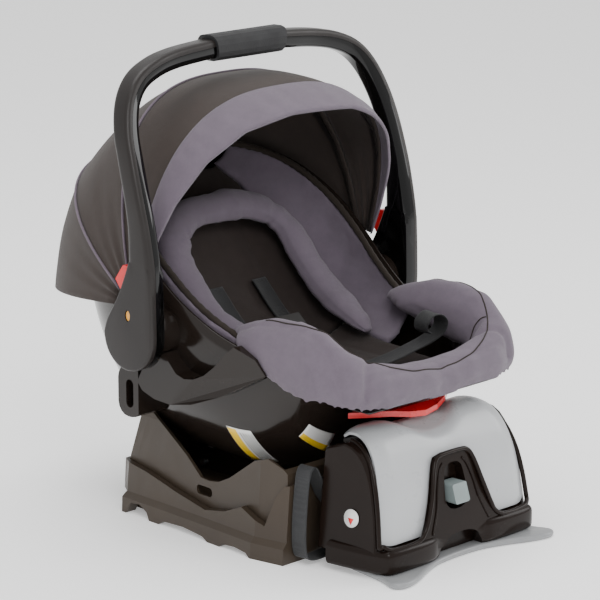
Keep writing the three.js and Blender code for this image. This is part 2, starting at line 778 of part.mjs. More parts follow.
// Hub bosses carry the handle on two bolts.
const HANDLE_INNER_FACE = HANDLE_HALF_WIDTH - HANDLE_OUTER_THICKNESS - HANDLE_INNER_THICKNESS;
const HANDLE_SEAM = HANDLE_HALF_WIDTH - HANDLE_OUTER_THICKNESS;
const BOLT_RADIUS = 7;
const BOLT_DEPTH = 25; // how far the bolt goes into the boss
const boltHole = (from, to) => {
  return prism("x", ellipse(BOLT_RADIUS + GAP, BOLT_RADIUS + GAP, [HUB_Y, HUB_Z], 16), from, to);
};
const boss = cut(
  prism("x", ellipse(BOSS_RADIUS, BOSS_RADIUS, [HUB_Y, HUB_Z]), FITTED_FROM, HANDLE_INNER_FACE - GAP),
  boltHole(HANDLE_INNER_FACE - BOLT_DEPTH - 1, HANDLE_INNER_FACE + 5),
);
addFitted("hub_boss", boss, [], COLOUR.shell, 0.3);
const boltOutline = ellipse(BOLT_RADIUS, BOLT_RADIUS, [HUB_Y, HUB_Z], 16);
const bolt = prism("x", boltOutline, HANDLE_INNER_FACE - BOLT_DEPTH, HANDLE_SEAM + 3.5);
addPair("pivot_bolt", bolt, COLOUR.steel, 0.3, 0.9);

// Foam liner and cover padding follow the seating surface.
const PAD_UNDER = PAD_THICKNESS + 3.5;
add(
  "foam_liner",
  plate(underSeat, [0.42, 0.94], [-0.5, 0.5], [PAD_UNDER, PAD_UNDER + FOAM_THICKNESS], [7, 6]),
  COLOUR.foam,
  0.9,
);
const CENTRE_EDGE = 0.42;
const SEAM = 0.006;
function pad(name, u, v, color, steps, thickness = PAD_THICKNESS) {
  add(name, plate(underSeat, u, v, [0, thickness], steps), color, 0.9);
}
pad("pad_seat", [0.1, 0.46], [-CENTRE_EDGE, CENTRE_EDGE], COLOUR.canopy, [6, 5]);
pad("pad_back", [0.46 + SEAM, 0.96], [-CENTRE_EDGE, CENTRE_EDGE], COLOUR.canopy, [7, 5]);
pad("pad_side_right", [0.33, 0.97], [CENTRE_EDGE + SEAM, 0.985], COLOUR.fabric, [8, 6], 12);
pad("pad_side_left", [0.33, 0.97], [-0.985, -CENTRE_EDGE - SEAM], COLOUR.fabric, [8, 6], 12);

const shellGrown = plate(inShell, [0, 1], [-1, 1], [-GAP, SHELL_WALL + GAP], SHELL_STEPS);
const shellRim = bent(shellGrown, (p) => {
  p.z += 0.5;
});
const padSpace = (v) => plate(underSeat, [0.27, 0.98], v, [-GAP, 18], [10, 6]);
add(
  "pad_apron",
  cut(apronSolid(0), shellGrown, shellRim, padSpace([-1, -0.415]), padSpace([0.415, 1]),
    padSpace([-0.425, 0.425])),
  COLOUR.fabric,
  0.9,
);

// Infant insert: a soft roll round the head and one down each side.
function roll(name, path, outline, steps) {
  const points = [];
  for (let i = 0; i <= steps; i += 1) {
    const [, u, v, lift] = along(path, (i * (path.length - 1)) / steps);
    points.push(underSeat(u, v, -lift));
  }
  const [u, v] = along(path, (path.length - 1) / 2).slice(1);
  const across = seatPoint(u, v).sub(shellPoint(u, v)).normalize();
  add(name, sweep(points, outline, across), COLOUR.fabric, 0.9);
}
const rollOutline = ellipse(17, 22, [0, 0], 10);
for (const [name, sign] of [["right", 1], ["left", -1]]) {
  const path = [
    [0, 0.37, sign * 0.35, 26], [1, 0.5, sign * 0.37, 27], [2, 0.63, sign * 0.37, 27],
  ];
  roll(`insert_${name}`, path, rollOutline, 7);
}
const headPath = [
  [0, 0.68, -0.42, 26], [1, 0.775, -0.36, 26], [2, 0.83, 0, 26], [3, 0.775, 0.36, 26],
  [4, 0.68, 0.42, 26],
];
roll("insert_head", headPath, ellipse(16, 20, [0, 0], 10), 12);

// Harness webbing lies on the padding.
const webbingOutline = [
  [-STRAP_WIDTH / 2, -STRAP_THICKNESS / 2], [STRAP_WIDTH / 2, -STRAP_THICKNESS / 2],
  [STRAP_WIDTH / 2, STRAP_THICKNESS / 2], [-STRAP_WIDTH / 2, STRAP_THICKNESS / 2],
];
function strap(name, path, steps) {
  const points = [];
  for (let i = 0; i <= steps; i += 1) {
    const [, u, v, lift] = along(path, (i * (path.length - 1)) / steps);
    points.push(underSeat(u, v, -lift));
  }
  add(name, sweep(points, webbingOutline, X_AXIS), COLOUR.webbing, 0.8);
}
for (const [name, sign] of [["right", 1], ["left", -1]]) {
  const path = [
    [0, 0.405, sign * 0.085, 7], [1, 0.44, sign * 0.1, 6], [2, 0.55, sign * 0.105, 6],
    [3, 0.66, sign * 0.105, 6],
  ];
  strap(`shoulder_strap_${name}`, path, 9);
}

// Buckle, its button and the two tongues, at the end of the crotch strap.
const BUCKLE = { y: 36, z: 226, tilt: 0.35 };
function atBuckle(geometry) {
  const turn = new THREE.Matrix4().makeRotationX(BUCKLE.tilt);
  const shift = new THREE.Matrix4().makeTranslation(0, BUCKLE.y, BUCKLE.z);
  return bent(geometry, (p) => p.applyMatrix4(turn).applyMatrix4(shift));
}
const buckleShape = [
  [-15, -26], [15, -26], [20, -14], [22, 10], [19, 24], [-19, 24], [-22, 10], [-20, -14],
];
const buckleWell = prism("z", shifted(roundedOutline(25, 17, 4, 2), 0, -9), -3, 20);
const tongueSlots = prism("z", shifted(roundedOutline(37, 12, 1, 1), 0, 21), -2.2, 2.2);
const buckleBody = cut(prism("z", buckleShape, -7, 7), buckleWell, tongueSlots);
add("buckle", atBuckle(buckleBody), COLOUR.shell, 0.35);
add(
  "buckle_button",
  atBuckle(prism("z", shifted(roundedOutline(24, 16, 3.6, 2), 0, -9), 1.5, 8.5)),
  COLOUR.red,
  0.35,
);
const tongue = prism("z", [[2, 16], [17, 16], [17, 27], [22, 31], [22, 37], [2, 37]], -1.2, 1.2);
addPair("tongue", atBuckle(tongue), COLOUR.steel, 0.3, 0.9);
strap("crotch_strap", [[0, 0.28, 0, 2], [1, 0.3, 0, 2.5], [2, 0.318, 0, 4]], 4);

// Chest clip: two interlocking halves in front of the shoulder straps.
const CLIP = { u: 0.475, lift: 21 };
const clipSeat = underSeat(CLIP.u, 0, -CLIP.lift);
function clipHalf(outline) {
  const turn = new THREE.Matrix4().makeRotationX(0.72);
  const shift = new THREE.Matrix4().makeTranslation(clipSeat.x, clipSeat.y, clipSeat.z);
  return bent(prism("z", outline, -3.5, 3.5), (p) => p.applyMatrix4(turn).applyMatrix4(shift));
}
add(
  "chest_clip_left",
  clipHalf([[-34, -18], [-34, 18], [-4, 18], [-4, 8], [8, 8], [8, -8], [-4, -8], [-4, -18]]),
  COLOUR.shell,
  0.35,
);
add(
  "chest_clip_right",
  clipHalf([
    [34, -18], [-3.5, -18], [-3.5, -8.5], [8.5, -8.5], [8.5, 8.5], [-3.5, 8.5], [-3.5, 18], [34, 18],
  ]),
  COLOUR.shell,
  0.35,
);

// Adjuster strap: out of the slit, over the apron to one side, ending in a loop.
const adjusterPath = [
  [0, -48, 213], [14, -54, 216], [36, -62, 222], [58, -68, 229], [78, -74, 236], [94, -80, 246],
  [99, -82, 258], [92, -81, 268], [80, -78, 270], [70, -76, 262], [70, -75, 252], [77, -76, 246],
];
add(
  "adjuster_strap",
  sweep(
    adjusterPath.map(([x, y, z]) => vector(x, y, z)),
    [[-11, -0.9], [11, -0.9], [11, 0.9], [-11, 0.9]],
    vector(-0.1, 1, 0.1),
  ),
  COLOUR.webbing,
  0.8,
);

// ---- handle ----

// Seam line between the matte and gloss halves: x, y, z and depth, hub to middle.
const handleHalf = [
  [HANDLE_SEAM, HUB_Y - 19, 292, 46], [HANDLE_SEAM, 104, 325, 44], [HANDLE_SEAM, 104, 355, 41],
  [HANDLE_SEAM, 108, 395, 33], [HANDLE_SEAM, 115, 430, 29], [HANDLE_SEAM - 2, 128, 475, 28],
  [HANDLE_SEAM - 7, 141, 512, 28], [HANDLE_SEAM - 20, 152, 545, 28],
  [HANDLE_SEAM - 42, 159, 569, 28], [HANDLE_SEAM - 74, 163, 583, 28],
  [HANDLE_SEAM - 110, GRIP_Y, 590, 28], [80, GRIP_Y, 594, 28], [40, GRIP_Y, 596, 28],
];
const handlePath = [
  ...handleHalf.map(([x, ...rest]) => [-x, ...rest]),
  ...[...handleHalf].reverse(),
];
function handleHalfShell(sides, from, to) {
  const rings = handlePath.map(([x, y, z, depth], i) => {
    const before = handlePath[Math.max(i - 1, 0)];
    const after = handlePath[Math.min(i + 1, handlePath.length - 1)];
    const out = vector(-(after[2] - before[2]), 0, after[0] - before[0]).normalize();
    return sides.map(([across, part]) => {
      return vector(x, y + (across * depth) / 2, z).addScaledVector(out, from + (to - from) * part);
    });
  });
  return skin(rings);
}
const D_SHAPE = [
  [-1, 0], [-1, 0.45], [-0.86, 0.82], [-0.55, 1], [0.55, 1], [0.86, 0.82], [1, 0.45], [1, 0],
];
const lobeOutline = [
  ...ellipse(HUB_RADIUS, HUB_RADIUS, [HUB_Y, HUB_Z], 26).slice(13),
  [HUB_Y + HUB_RADIUS, HUB_Z + 2], [HUB_Y + 37, HUB_Z + 20], [HUB_Y + 24, HUB_Z + 38],
  [HUB_Y + 12, HUB_Z + 60], [HUB_Y, HUB_Z + 88], [HUB_Y - 2, HUB_Z + 97],
  [HUB_Y - 40, HUB_Z + 97], [HUB_Y - 42, HUB_Z + 60], [HUB_Y - HUB_RADIUS, HUB_Z + 14],
];
const indicatorHole = (grow, from, to) => {
  return prism("x", ellipse(4 + grow, 6.5 + grow, [HUB_Y - 1, HUB_Z + 27], 12), from, to);
};
const buttonShape = [
  [HUB_Y - 4, 319], [HUB_Y + 16, 316], [HUB_Y + 27, 331], [HUB_Y + 13, 350], [HUB_Y - 4, 350],
];
const buttonSpace = [
  [HUB_Y - 13, 316], [HUB_Y + 30, 314], [HUB_Y + 30, 353], [HUB_Y - 13, 353],
];
const outerLobe = prism("x", lobeOutline, HANDLE_SEAM + 0.2, HANDLE_HALF_WIDTH);
const innerLobe = prism("x", lobeOutline, HANDLE_INNER_FACE, HANDLE_SEAM - 0.2);
const slotOuter = prism("x", buttonSpace, HANDLE_SEAM - 8, HANDLE_SEAM + 2.5);
add(
  "handle_outer",
  cut(
    join(handleHalfShell(D_SHAPE, 0.2, HANDLE_OUTER_THICKNESS), outerLobe, mirrored(outerLobe)),
    boltHole(-HANDLE_SEAM - 4, -200), boltHole(200, HANDLE_SEAM + 4),
    indicatorHole(GAP, -300, -200), indicatorHole(GAP, 200, 300), slotOuter, mirrored(slotOuter),
  ),
  COLOUR.handleMatte,
  0.6,
);
add(
  "handle_inner",
  cut(
    join(handleHalfShell(D_SHAPE, -0.2, -HANDLE_INNER_THICKNESS), innerLobe, mirrored(innerLobe)),
    boltHole(-300, -200), boltHole(200, 300), slotOuter, mirrored(slotOuter),
  ),
  COLOUR.handleGloss,
  0.12,
);
const handleButton = prism("x", buttonShape, HANDLE_SEAM - 7.5, HANDLE_SEAM + 2);
addPair("handle_button", handleButton, COLOUR.red, 0.35);
addPair(
  "handle_indicator",
  indicatorHole(0, HANDLE_SEAM + 1, HANDLE_HALF_WIDTH - 1.5),
  COLOUR.amber,
  0.4,
);

// Grip: a rubber sleeve split from the handle by a small clearance.
const handleTop = join(
  handleHalfShell(D_SHAPE, -GAP, HANDLE_OUTER_THICKNESS + GAP),
  handleHalfShell(D_SHAPE, GAP, -HANDLE_INNER_THICKNESS - GAP),
);
const gripOutline = shifted(roundedOutline(37, 33, 12, 3), GRIP_Y, GRIP_HEIGHT - 3);
const gripSleeve = bent(prism("x", gripOutline, -GRIP_HALF_LENGTH, GRIP_HALF_LENGTH), (p) => {
  p.x += Math.sign(p.x) * (p.z - GRIP_HEIGHT) * 0.15;
});
const handleBore = bent(handleTop, (p) => {
  p.y = GRIP_Y + (p.y - GRIP_Y) * 1.04;
});
add("grip_sleeve", cut(gripSleeve, handleBore), COLOUR.handleMatte, 0.8);

// ---- canopy ----

// lean of the hoop (degrees back from upright), radius
const CANOPY_LEANS = [
  [-24, CANOPY_HEIGHT - 12], [-18, CANOPY_HEIGHT - 8], [-4, CANOPY_HEIGHT + 1],
  [12, CANOPY_HEIGHT + 3], [32, CANOPY_HEIGHT - 6], [52, CANOPY_HEIGHT - 15],
  [72, CANOPY_HEIGHT - 13], [98, CANOPY_HEIGHT - 10],
];
const CANOPY_START = 16;
function canopyPoint(lean, v, depth) {
  const [, radius] = along(CANOPY_LEANS, lean);
  const angle = (v * Math.PI) / 2;
  const reach = (radius - depth - CANOPY_START) * Math.cos(angle) ** 0.74 + CANOPY_START;
  const x = (CANOPY_HALF_WIDTH - depth) * Math.sign(v) * Math.abs(Math.sin(angle)) ** 0.74;
  const turn = (lean * Math.PI) / 180;
  return vector(x, CANOPY_Y + reach * Math.sin(turn), CANOPY_Z + reach * Math.cos(turn));
}
const BOWS = { front: -17, middle: 12, rear: 52 };
const REAR_HEM = 94;
const PANEL_GAP = 0.25;
function panel(name, from, to, color, steps, reach = 0.985) {
  add(name, plate(canopyPoint, [from, to], [-reach, reach], [0, FABRIC], steps), color, 0.9);
}
panel("canopy_band", BOWS.front - 7, BOWS.front - PANEL_GAP, COLOUR.fabric, [1, 14]);
panel("canopy_panel_front", BOWS.front, BOWS.middle - PANEL_GAP, COLOUR.canopy, [2, 14]);
panel("canopy_panel_middle", BOWS.middle, BOWS.rear - PANEL_GAP, COLOUR.canopy, [3, 14]);
panel("canopy_panel_rear", BOWS.rear, REAR_HEM, COLOUR.canopy, [3, 14]);
Object.entries(BOWS).forEach(([name, lean], i) => {
  const inner = FABRIC + 1.9 + i * 2.4;
  const span = [lean + 0.5, lean + 2.8];
  add(
    `canopy_bow_${name}`,
    plate(canopyPoint, span, [-0.97, 0.97], [inner, inner + 2], [1, 14]),
    COLOUR.shell,
    0.4,
  );
});
const mountOutline = ellipse(14, 14, [CANOPY_Y, CANOPY_Z], 14);
const canopyMount = prism("x", mountOutline, FITTED_FROM, CANOPY_HALF_WIDTH - 14);
addFitted("canopy_mount", canopyMount, [bossSpace], COLOUR.shell, 0.35);

// The frame's origin is on the floor, under the middle of the whole object.
const extent = new THREE.Box3().setFromObject(group);
group.position.y = -(extent.min.y + extent.max.y) / 2;

export default group;
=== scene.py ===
import bpy
import bmesh
import math
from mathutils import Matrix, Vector, noise


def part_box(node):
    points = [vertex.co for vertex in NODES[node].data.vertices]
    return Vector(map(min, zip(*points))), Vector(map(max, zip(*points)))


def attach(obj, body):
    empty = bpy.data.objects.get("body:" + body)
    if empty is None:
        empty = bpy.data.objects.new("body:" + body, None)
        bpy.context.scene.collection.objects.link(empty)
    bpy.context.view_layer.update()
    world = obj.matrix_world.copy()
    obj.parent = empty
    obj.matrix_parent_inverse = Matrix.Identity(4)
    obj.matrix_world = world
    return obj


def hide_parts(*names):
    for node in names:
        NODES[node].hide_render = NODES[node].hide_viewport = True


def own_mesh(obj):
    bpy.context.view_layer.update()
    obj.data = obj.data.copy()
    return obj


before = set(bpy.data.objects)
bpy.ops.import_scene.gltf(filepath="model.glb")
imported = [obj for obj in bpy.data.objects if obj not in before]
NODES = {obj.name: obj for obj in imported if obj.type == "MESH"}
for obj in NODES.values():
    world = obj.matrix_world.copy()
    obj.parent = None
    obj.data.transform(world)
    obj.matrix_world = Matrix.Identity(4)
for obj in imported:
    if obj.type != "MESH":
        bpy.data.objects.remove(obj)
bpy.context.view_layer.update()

# ---- frame: the part's own drawing origin, found from one of its nodes ----
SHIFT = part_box("recline_foot")[0][1] + 0.236


def at(x, y, z):
    """A point in metres, from millimetres in the frame the part is drawn in."""
    return Vector((x / 1000, y / 1000 + SHIFT, z / 1000))


# ---- materials ----

def node_tree(name):
    material = bpy.data.materials.new(name)
    material.use_nodes = True
    nodes = material.node_tree.nodes
    return material, nodes, material.node_tree.links, nodes["Principled BSDF"]


def object_coordinates(nodes, links, scale=(1, 1, 1)):
    coordinates = nodes.new("ShaderNodeTexCoord")
    mapping = nodes.new("ShaderNodeMapping")
    mapping.inputs["Scale"].default_value = scale
    links.new(coordinates.outputs["Object"], mapping.inputs["Vector"])
    return mapping.outputs["Vector"]


def add_noise(nodes, links, vector, scale, detail=4.0, roughness=0.55):
    texture = nodes.new("ShaderNodeTexNoise")
    texture.inputs["Scale"].default_value = scale
    texture.inputs["Detail"].default_value = detail
    texture.inputs["Roughness"].default_value = roughness
    links.new(vector, texture.inputs["Vector"])
    return texture.outputs["Fac"]


def add_ramp(nodes, links, value, stops):
    ramp = nodes.new("ShaderNodeValToRGB")
    elements = ramp.color_ramp.elements
    while len(elements) < len(stops):
        elements.new(0.5)
    for element, (position, colour) in zip(elements, stops):
        element.position = position
        element.color = (*colour, 1)
    links.new(value, ramp.inputs["Fac"])
    return ramp.outputs["Color"]


def add_bump(nodes, links, height, strength, distance, under=None):
    bump = nodes.new("ShaderNodeBump")
    bump.inputs["Strength"].default_value = strength
    bump.inputs["Distance"].default_value = distance
    links.new(height, bump.inputs["Height"])
    if under is not None:
        links.new(under, bump.inputs["Normal"])
    return bump.outputs["Normal"]


def tinted(colour, factor):
    return tuple(min(1.0, channel * factor) for channel in colour)


def plastic(name, colour, roughness, grain=0.2, grain_scale=900, coat=0.0, vary=0.12, shine=0.5):
    """Moulded plastic: fine grain, slight colour drift and smudges in the gloss."""
    material, nodes, links, shader = node_tree(name)
    vector = object_coordinates(nodes, links)
    drift = add_noise(nodes, links, vector, 9, 5)
    stops = [(0.3, tinted(colour, 1 - vary)), (0.7, tinted(colour, 1 + vary))]
    links.new(add_ramp(nodes, links, drift, stops), shader.inputs["Base Color"])
    smudge = add_noise(nodes, links, vector, 26, 6, 0.7)
    low, high = roughness * 0.85, min(1, roughness * 1.25)
    gloss = add_ramp(nodes, links, smudge, [(0.35, (low,) * 3), (0.7, (high,) * 3)])
    links.new(gloss, shader.inputs["Roughness"])
    fine = add_noise(nodes, links, vector, grain_scale, 2)
    links.new(add_bump(nodes, links, fine, grain, 0.0004), shader.inputs["Normal"])
    shader.inputs["Specular IOR Level"].default_value = shine
    shader.inputs["Coat Weight"].default_value = coat
    shader.inputs["Coat Roughness"].default_value = 0.06
    return material


def metal(name, colour, roughness):
    material, nodes, links, shader = node_tree(name)
    vector = object_coordinates(nodes, links, (1, 30, 1))
    brushed = add_noise(nodes, links, vector, 160, 3)
    stops = [(0.3, tinted(colour, 0.85)), (0.7, tinted(colour, 1.08))]
    links.new(add_ramp(nodes, links, brushed, stops), shader.inputs["Base Color"])
    links.new(add_bump(nodes, links, brushed, 0.15, 0.0002), shader.inputs["Normal"])
    shader.inputs["Metallic"].default_value = 1.0
    shader.inputs["Roughness"].default_value = roughness
    return material


def woven(name, colour, threads, bump=0.35, sheen=0.25, vary=0.16, crease=0.0, roughness=0.88):
    """Woven cloth: two crossing sets of threads, colour drift and soft creases."""
    material, nodes, links, shader = node_tree(name)
    vector = object_coordinates(nodes, links)
    heights = []
    for direction in ("X", "Y", "Z"):
        wave = nodes.new("ShaderNodeTexWave")
        wave.bands_direction = direction
        wave.inputs["Scale"].default_value = threads
        wave.inputs["Distortion"].default_value = 0.6
        wave.inputs["Detail"].default_value = 1.0
        wave.inputs["Detail Scale"].default_value = 4.0
        links.new(vector, wave.inputs["Vector"])
        heights.append(wave.outputs["Fac"])
    first = nodes.new("ShaderNodeMath")
    first.operation = "MULTIPLY"
    links.new(heights[0], first.inputs[0])
    links.new(heights[1], first.inputs[1])
    total = nodes.new("ShaderNodeMath")
    total.operation = "ADD"
    links.new(first.outputs[0], total.inputs[0])
    links.new(heights[2], total.inputs[1])
    weave = add_bump(nodes, links, total.outputs[0], bump, 0.0003)
    fold = add_noise(nodes, links, vector, 24, 5, 0.6)
    normal = add_bump(nodes, links, fold, 0.12 + crease, 0.004, weave)
    links.new(normal, shader.inputs["Normal"])
    drift = add_noise(nodes, links, vector, 60, 8, 0.75)
    stops = [(0.28, tinted(colour, 1 - vary)), (0.72, tinted(colour, 1 + vary))]
    links.new(add_ramp(nodes, links, drift, stops), shader.inputs["Base Color"])
    shader.inputs["Roughness"].default_value = roughness
    shader.inputs["Sheen Weight"].default_value = sheen
    shader.inputs["Sheen Roughness"].default_value = 0.5
    shader.inputs["Specular IOR Level"].default_value = 0.3
    return material


BASE_PLASTIC = plastic("base_plastic", (0.044, 0.032, 0.022), 0.36, 0.35, 1400, 0, 0.12, 0.3)
HOUSING_PLASTIC = plastic("housing_plastic", (0.010, 0.0060, 0.0045), 0.20, 0.1, 900, 0, 0.12, 0.14)
SILVER_PLASTIC = plastic("silver_plastic", (0.42, 0.43, 0.44), 0.30, 0.1, 1800, 0.2, 0.04)
FOOT_PLASTIC = plastic("foot_plastic", (0.24, 0.245, 0.25), 0.34, 0.1, 1800, 0.1, 0.04)
SHELL_PLASTIC = plastic("shell_plastic", (0.014, 0.010, 0.0080), 0.12, 0.06, 900, 0.05, 0.12, 0.3)
TRIM_PLASTIC = plastic("trim_plastic", (0.012, 0.010, 0.009), 0.34, 0.25, 1200, 0, 0.12, 0.35)
HANDLE_MATTE = plastic("handle_matte", (0.016, 0.013, 0.012), 0.34, 0.3, 1600, 0, 0.12, 0.3)
HANDLE_GLOSS = plastic("handle_gloss", (0.002, 0.002, 0.002), 0.06, 0.02, 700, 0.1, 0.1, 0.25)
GRIP_RUBBER = plastic("grip_rubber", (0.018, 0.018, 0.019), 0.60, 0.8, 700, 0, 0.12, 0.35)
RED_PLASTIC = plastic("red_plastic", (0.72, 0.008, 0.010), 0.28, 0.08, 900, 0.3, 0.06)
AMBER_PLASTIC = plastic("amber_plastic", (0.80, 0.36, 0.04), 0.3, 0.08, 900, 0.2, 0.05)
BUTTON_PLASTIC = plastic("button_plastic", (0.20, 0.24, 0.24), 0.35, 0.15)
LABEL_WHITE = plastic("label_white", (0.78, 0.78, 0.76), 0.35, 0.05, 900, 0.1, 0.03)
LABEL_YELLOW = plastic("label_yellow", (0.86, 0.56, 0.02), 0.35, 0.05, 900, 0.1, 0.03)
LABEL_GREY = plastic("label_grey", (0.20, 0.20, 0.20), 0.4, 0.05, 900, 0.0, 0.03)
STEEL = metal("steel", (0.55, 0.56, 0.57), 0.3)
CANOPY_CLOTH = woven("canopy_cloth", (0.036, 0.026, 0.022), 900, 0.25, 0.08, 0.10, 0.08, 0.70)
GREY_CLOTH = woven("grey_cloth", (0.128, 0.104, 0.132), 700, 0.4, 0.14, 0.10, 0.06)
BROWN_CLOTH = woven("brown_cloth", (0.022, 0.015, 0.013), 800, 0.35, 0.06, 0.12, 0.08)
BINDING_CLOTH = woven("binding_cloth", (0.022, 0.016, 0.012), 900, 0.3, 0.05)
PIPING_CLOTH = woven("piping_cloth", (0.140, 0.112, 0.140), 900, 0.3, 0.1)
FOAM = woven("foam", (0.70, 0.68, 0.63), 260, 0.5, 0.0, 0.05)
WEBBING = woven("webbing", (0.012, 0.012, 0.013), 420, 0.9, 0.10, 0.2, 0.0, 0.6)
BASE_WEBBING = woven("base_webbing", (0.030, 0.031, 0.033), 420, 0.9, 0.1, 0.2, 0.0, 0.7)

MATERIAL_OF = {
    "base_skirt": BASE_PLASTIC, "base_tub": BASE_PLASTIC, "front_housing": HOUSING_PLASTIC,
    "hood": SILVER_PLASTIC, "recline_foot": FOOT_PLASTIC, "recline_button": BUTTON_PLASTIC,
    "release_lever": RED_PLASTIC, "buckle_button": RED_PLASTIC, "buckle": TRIM_PLASTIC,
    "foam_liner": FOAM, "handle_outer": HANDLE_MATTE, "handle_inner": HANDLE_GLOSS,
    "grip_sleeve": GRIP_RUBBER, "carrier_shell": SHELL_PLASTIC,
}
STARTS = [
    ("handle_button", RED_PLASTIC), ("handle_indicator", AMBER_PLASTIC), ("latch", STEEL),
    ("pivot_bolt", STEEL), ("tongue", STEEL), ("anchor_connector", STEEL),
    ("runner", SHELL_PLASTIC), ("belt_guide", SHELL_PLASTIC), ("slot_bracket", SHELL_PLASTIC),
    ("hub_boss", SHELL_PLASTIC), ("canopy_bow", TRIM_PLASTIC), ("canopy_mount", TRIM_PLASTIC),
    ("chest_clip", TRIM_PLASTIC),
]


def material_for(name):
    if name in MATERIAL_OF:
        return MATERIAL_OF[name]
    for start, material in STARTS:
        if name.startswith(start):
            return material
    return GREY_CLOTH


def dress(name, material, bevel):
    """A CAD node's material, smooth shading between sharp edges, and rounded edges."""
    node = NODES[name]
    for slot in node.material_slots:
        slot.material = material
    mesh = node.data
    shape = bmesh.new()
    shape.from_mesh(mesh)
    for face in shape.faces:
        face.smooth = True
    for edge in shape.edges:
        angle = edge.calc_face_angle(0.0)
        edge.smooth = angle < math.radians(36)
    shape.to_mesh(mesh)
    shape.free()
    if bevel:
        rounded = node.modifiers.new("rounded", "BEVEL")
        rounded.width = bevel
        rounded.segments = 2
        rounded.limit_method = "ANGLE"
        rounded.angle_limit = math.radians(38)
        rounded.harden_normals = True


BEVELS = {
    "front_housing": 0.0016, "base_skirt": 0.0014, "base_tub": 0.0014, "hood": 0.0009,
    "recline_foot": 0.0014, "release_lever": 0.0016, "recline_button": 0.0014,
    "grip_sleeve": 0.0012, "buckle": 0.0016, "chest_clip_left": 0.0012,
    "chest_clip_right": 0.0012, "handle_button_right": 0.001, "handle_button_left": 0.001,
    "belt_guide_right": 0.002, "belt_guide_left": 0.002, "slot_bracket_right": 0.0014,
    "slot_bracket_left": 0.0014, "hub_boss_right": 0.001, "hub_boss_left": 0.001,
}
for node_name in NODES:
    dress(node_name, material_for(node_name), BEVELS.get(node_name, 0))


# ---- mesh helpers ----

def new_object(name, points, faces, material):
    mesh = bpy.data.meshes.new(name)
    mesh.from_pydata([tuple(p) for p in points], [], faces)
    mesh.validate()
    piece = bpy.data.objects.new(name, mesh)
    bpy.context.scene.collection.objects.link(piece)
    mesh.materials.append(material)
    for polygon in mesh.polygons:
        polygon.use_smooth = True
    shape = bmesh.new()
    shape.from_mesh(mesh)
    bmesh.ops.recalc_face_normals(shape, faces=shape.faces)
    shape.to_mesh(mesh)
    shape.free()
    return piece


def sheet_solid(name, point, rows, columns, material):
    """A closed sheet between point(s, t, 0) and point(s, t, 1), with s and t from 0 to 1."""
    points = []
    for side in (0, 1):
        for i in range(rows + 1):
            for j in range(columns + 1):
                points.append(point(i / rows, j / columns, side))
    width = columns + 1
    layer = (rows + 1) * width
    faces = []
    for i in range(rows):
        for j in range(columns):
            a = i * width + j
            faces.append((a, a + 1, a + width + 1, a + width))
            faces.append((layer + a, layer + a + width, layer + a + width + 1, layer + a + 1))
    rim = [j for j in range(width)]
    rim += [i * width + columns for i in range(1, rows + 1)]
    rim += [rows * width + j for j in range(columns - 1, -1, -1)]
    rim += [i * width for i in range(rows - 1, 0, -1)]
    for k, a in enumerate(rim):
        b = rim[(k + 1) % len(rim)]
        faces.append((a, layer + a, layer + b, b))
    return new_object(name, points, faces, material)


def sweep(name, path, outline, side, material, closed=False):
    """An outline carried along a path; side is its width direction, fixed or per point."""
    points = []
    count = len(outline)
    for i, centre in enumerate(path):
        before = path[i - 1] if i or closed else path[0]
        after = path[(i + 1) % len(path)] if i + 1 < len(path) or closed else path[-1]
        tangent = (after - before).normalized()
        across = side(i) if callable(side) else side
        across = (across - tangent * across.dot(tangent)).normalized()
        up = tangent.cross(across)
        points += [centre + across * (a / 1000) + up * (b / 1000) for a, b in outline]
    faces = []
    spans = len(path) if closed else len(path) - 1
    for i in range(spans):
        for k in range(count):
            a, b = i * count + k, i * count + (k + 1) % count
            c = ((i + 1) % len(path)) * count
            faces.append((a, b, c + (k + 1) % count, c + k))
    if not closed:
        faces.append(tuple(range(count))[::-1])
        faces.append(tuple((len(path) - 1) * count + k for k in range(count)))
    return new_object(name, points, faces, material)


def circle(radius, count=10):
    steps = [2 * math.pi * k / count for k in range(count)]
    return [(radius * math.cos(a), radius * math.sin(a)) for a in steps]


def along(table, t):
    """Smooth values through the rows of a table whose first column is the position."""
    last = len(table) - 1
    i = 0
    while i < last - 1 and t > table[i + 1][0]:
        i += 1
    start, end = table[i], table[i + 1]
    span = end[0] - start[0]
    s = min(max((t - start[0]) / span, 0), 1)

    def slope(k, column):
        a, b = table[max(k - 1, 0)], table[min(k + 1, last)]
        return (b[column] - a[column]) / (b[0] - a[0])

    values = []
    for column in range(len(start)):
        if column == 0:
            values.append(t)
            continue
        h = s * s * (3 - 2 * s)
        rise = s * (1 - s) ** 2 * span * slope(i, column)
        fall = s * s * (s - 1) * span * slope(i + 1, column)
        values.append(start[column] * (1 - h) + end[column] * h + rise + fall)
    return values


def smooth_path(rows, count):
    """Points spaced along a smooth curve through rows of numbers."""
    table = [[i, *row] for i, row in enumerate(rows)]
    return [along(table, (len(rows) - 1) * i / (count - 1))[1:] for i in range(count)]


def finish_piece(piece, body, slot, *replaced):
    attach(piece, body)
    if replaced:
        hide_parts(*replaced)
    return piece


# ---- carrier surfaces, as in the part ----

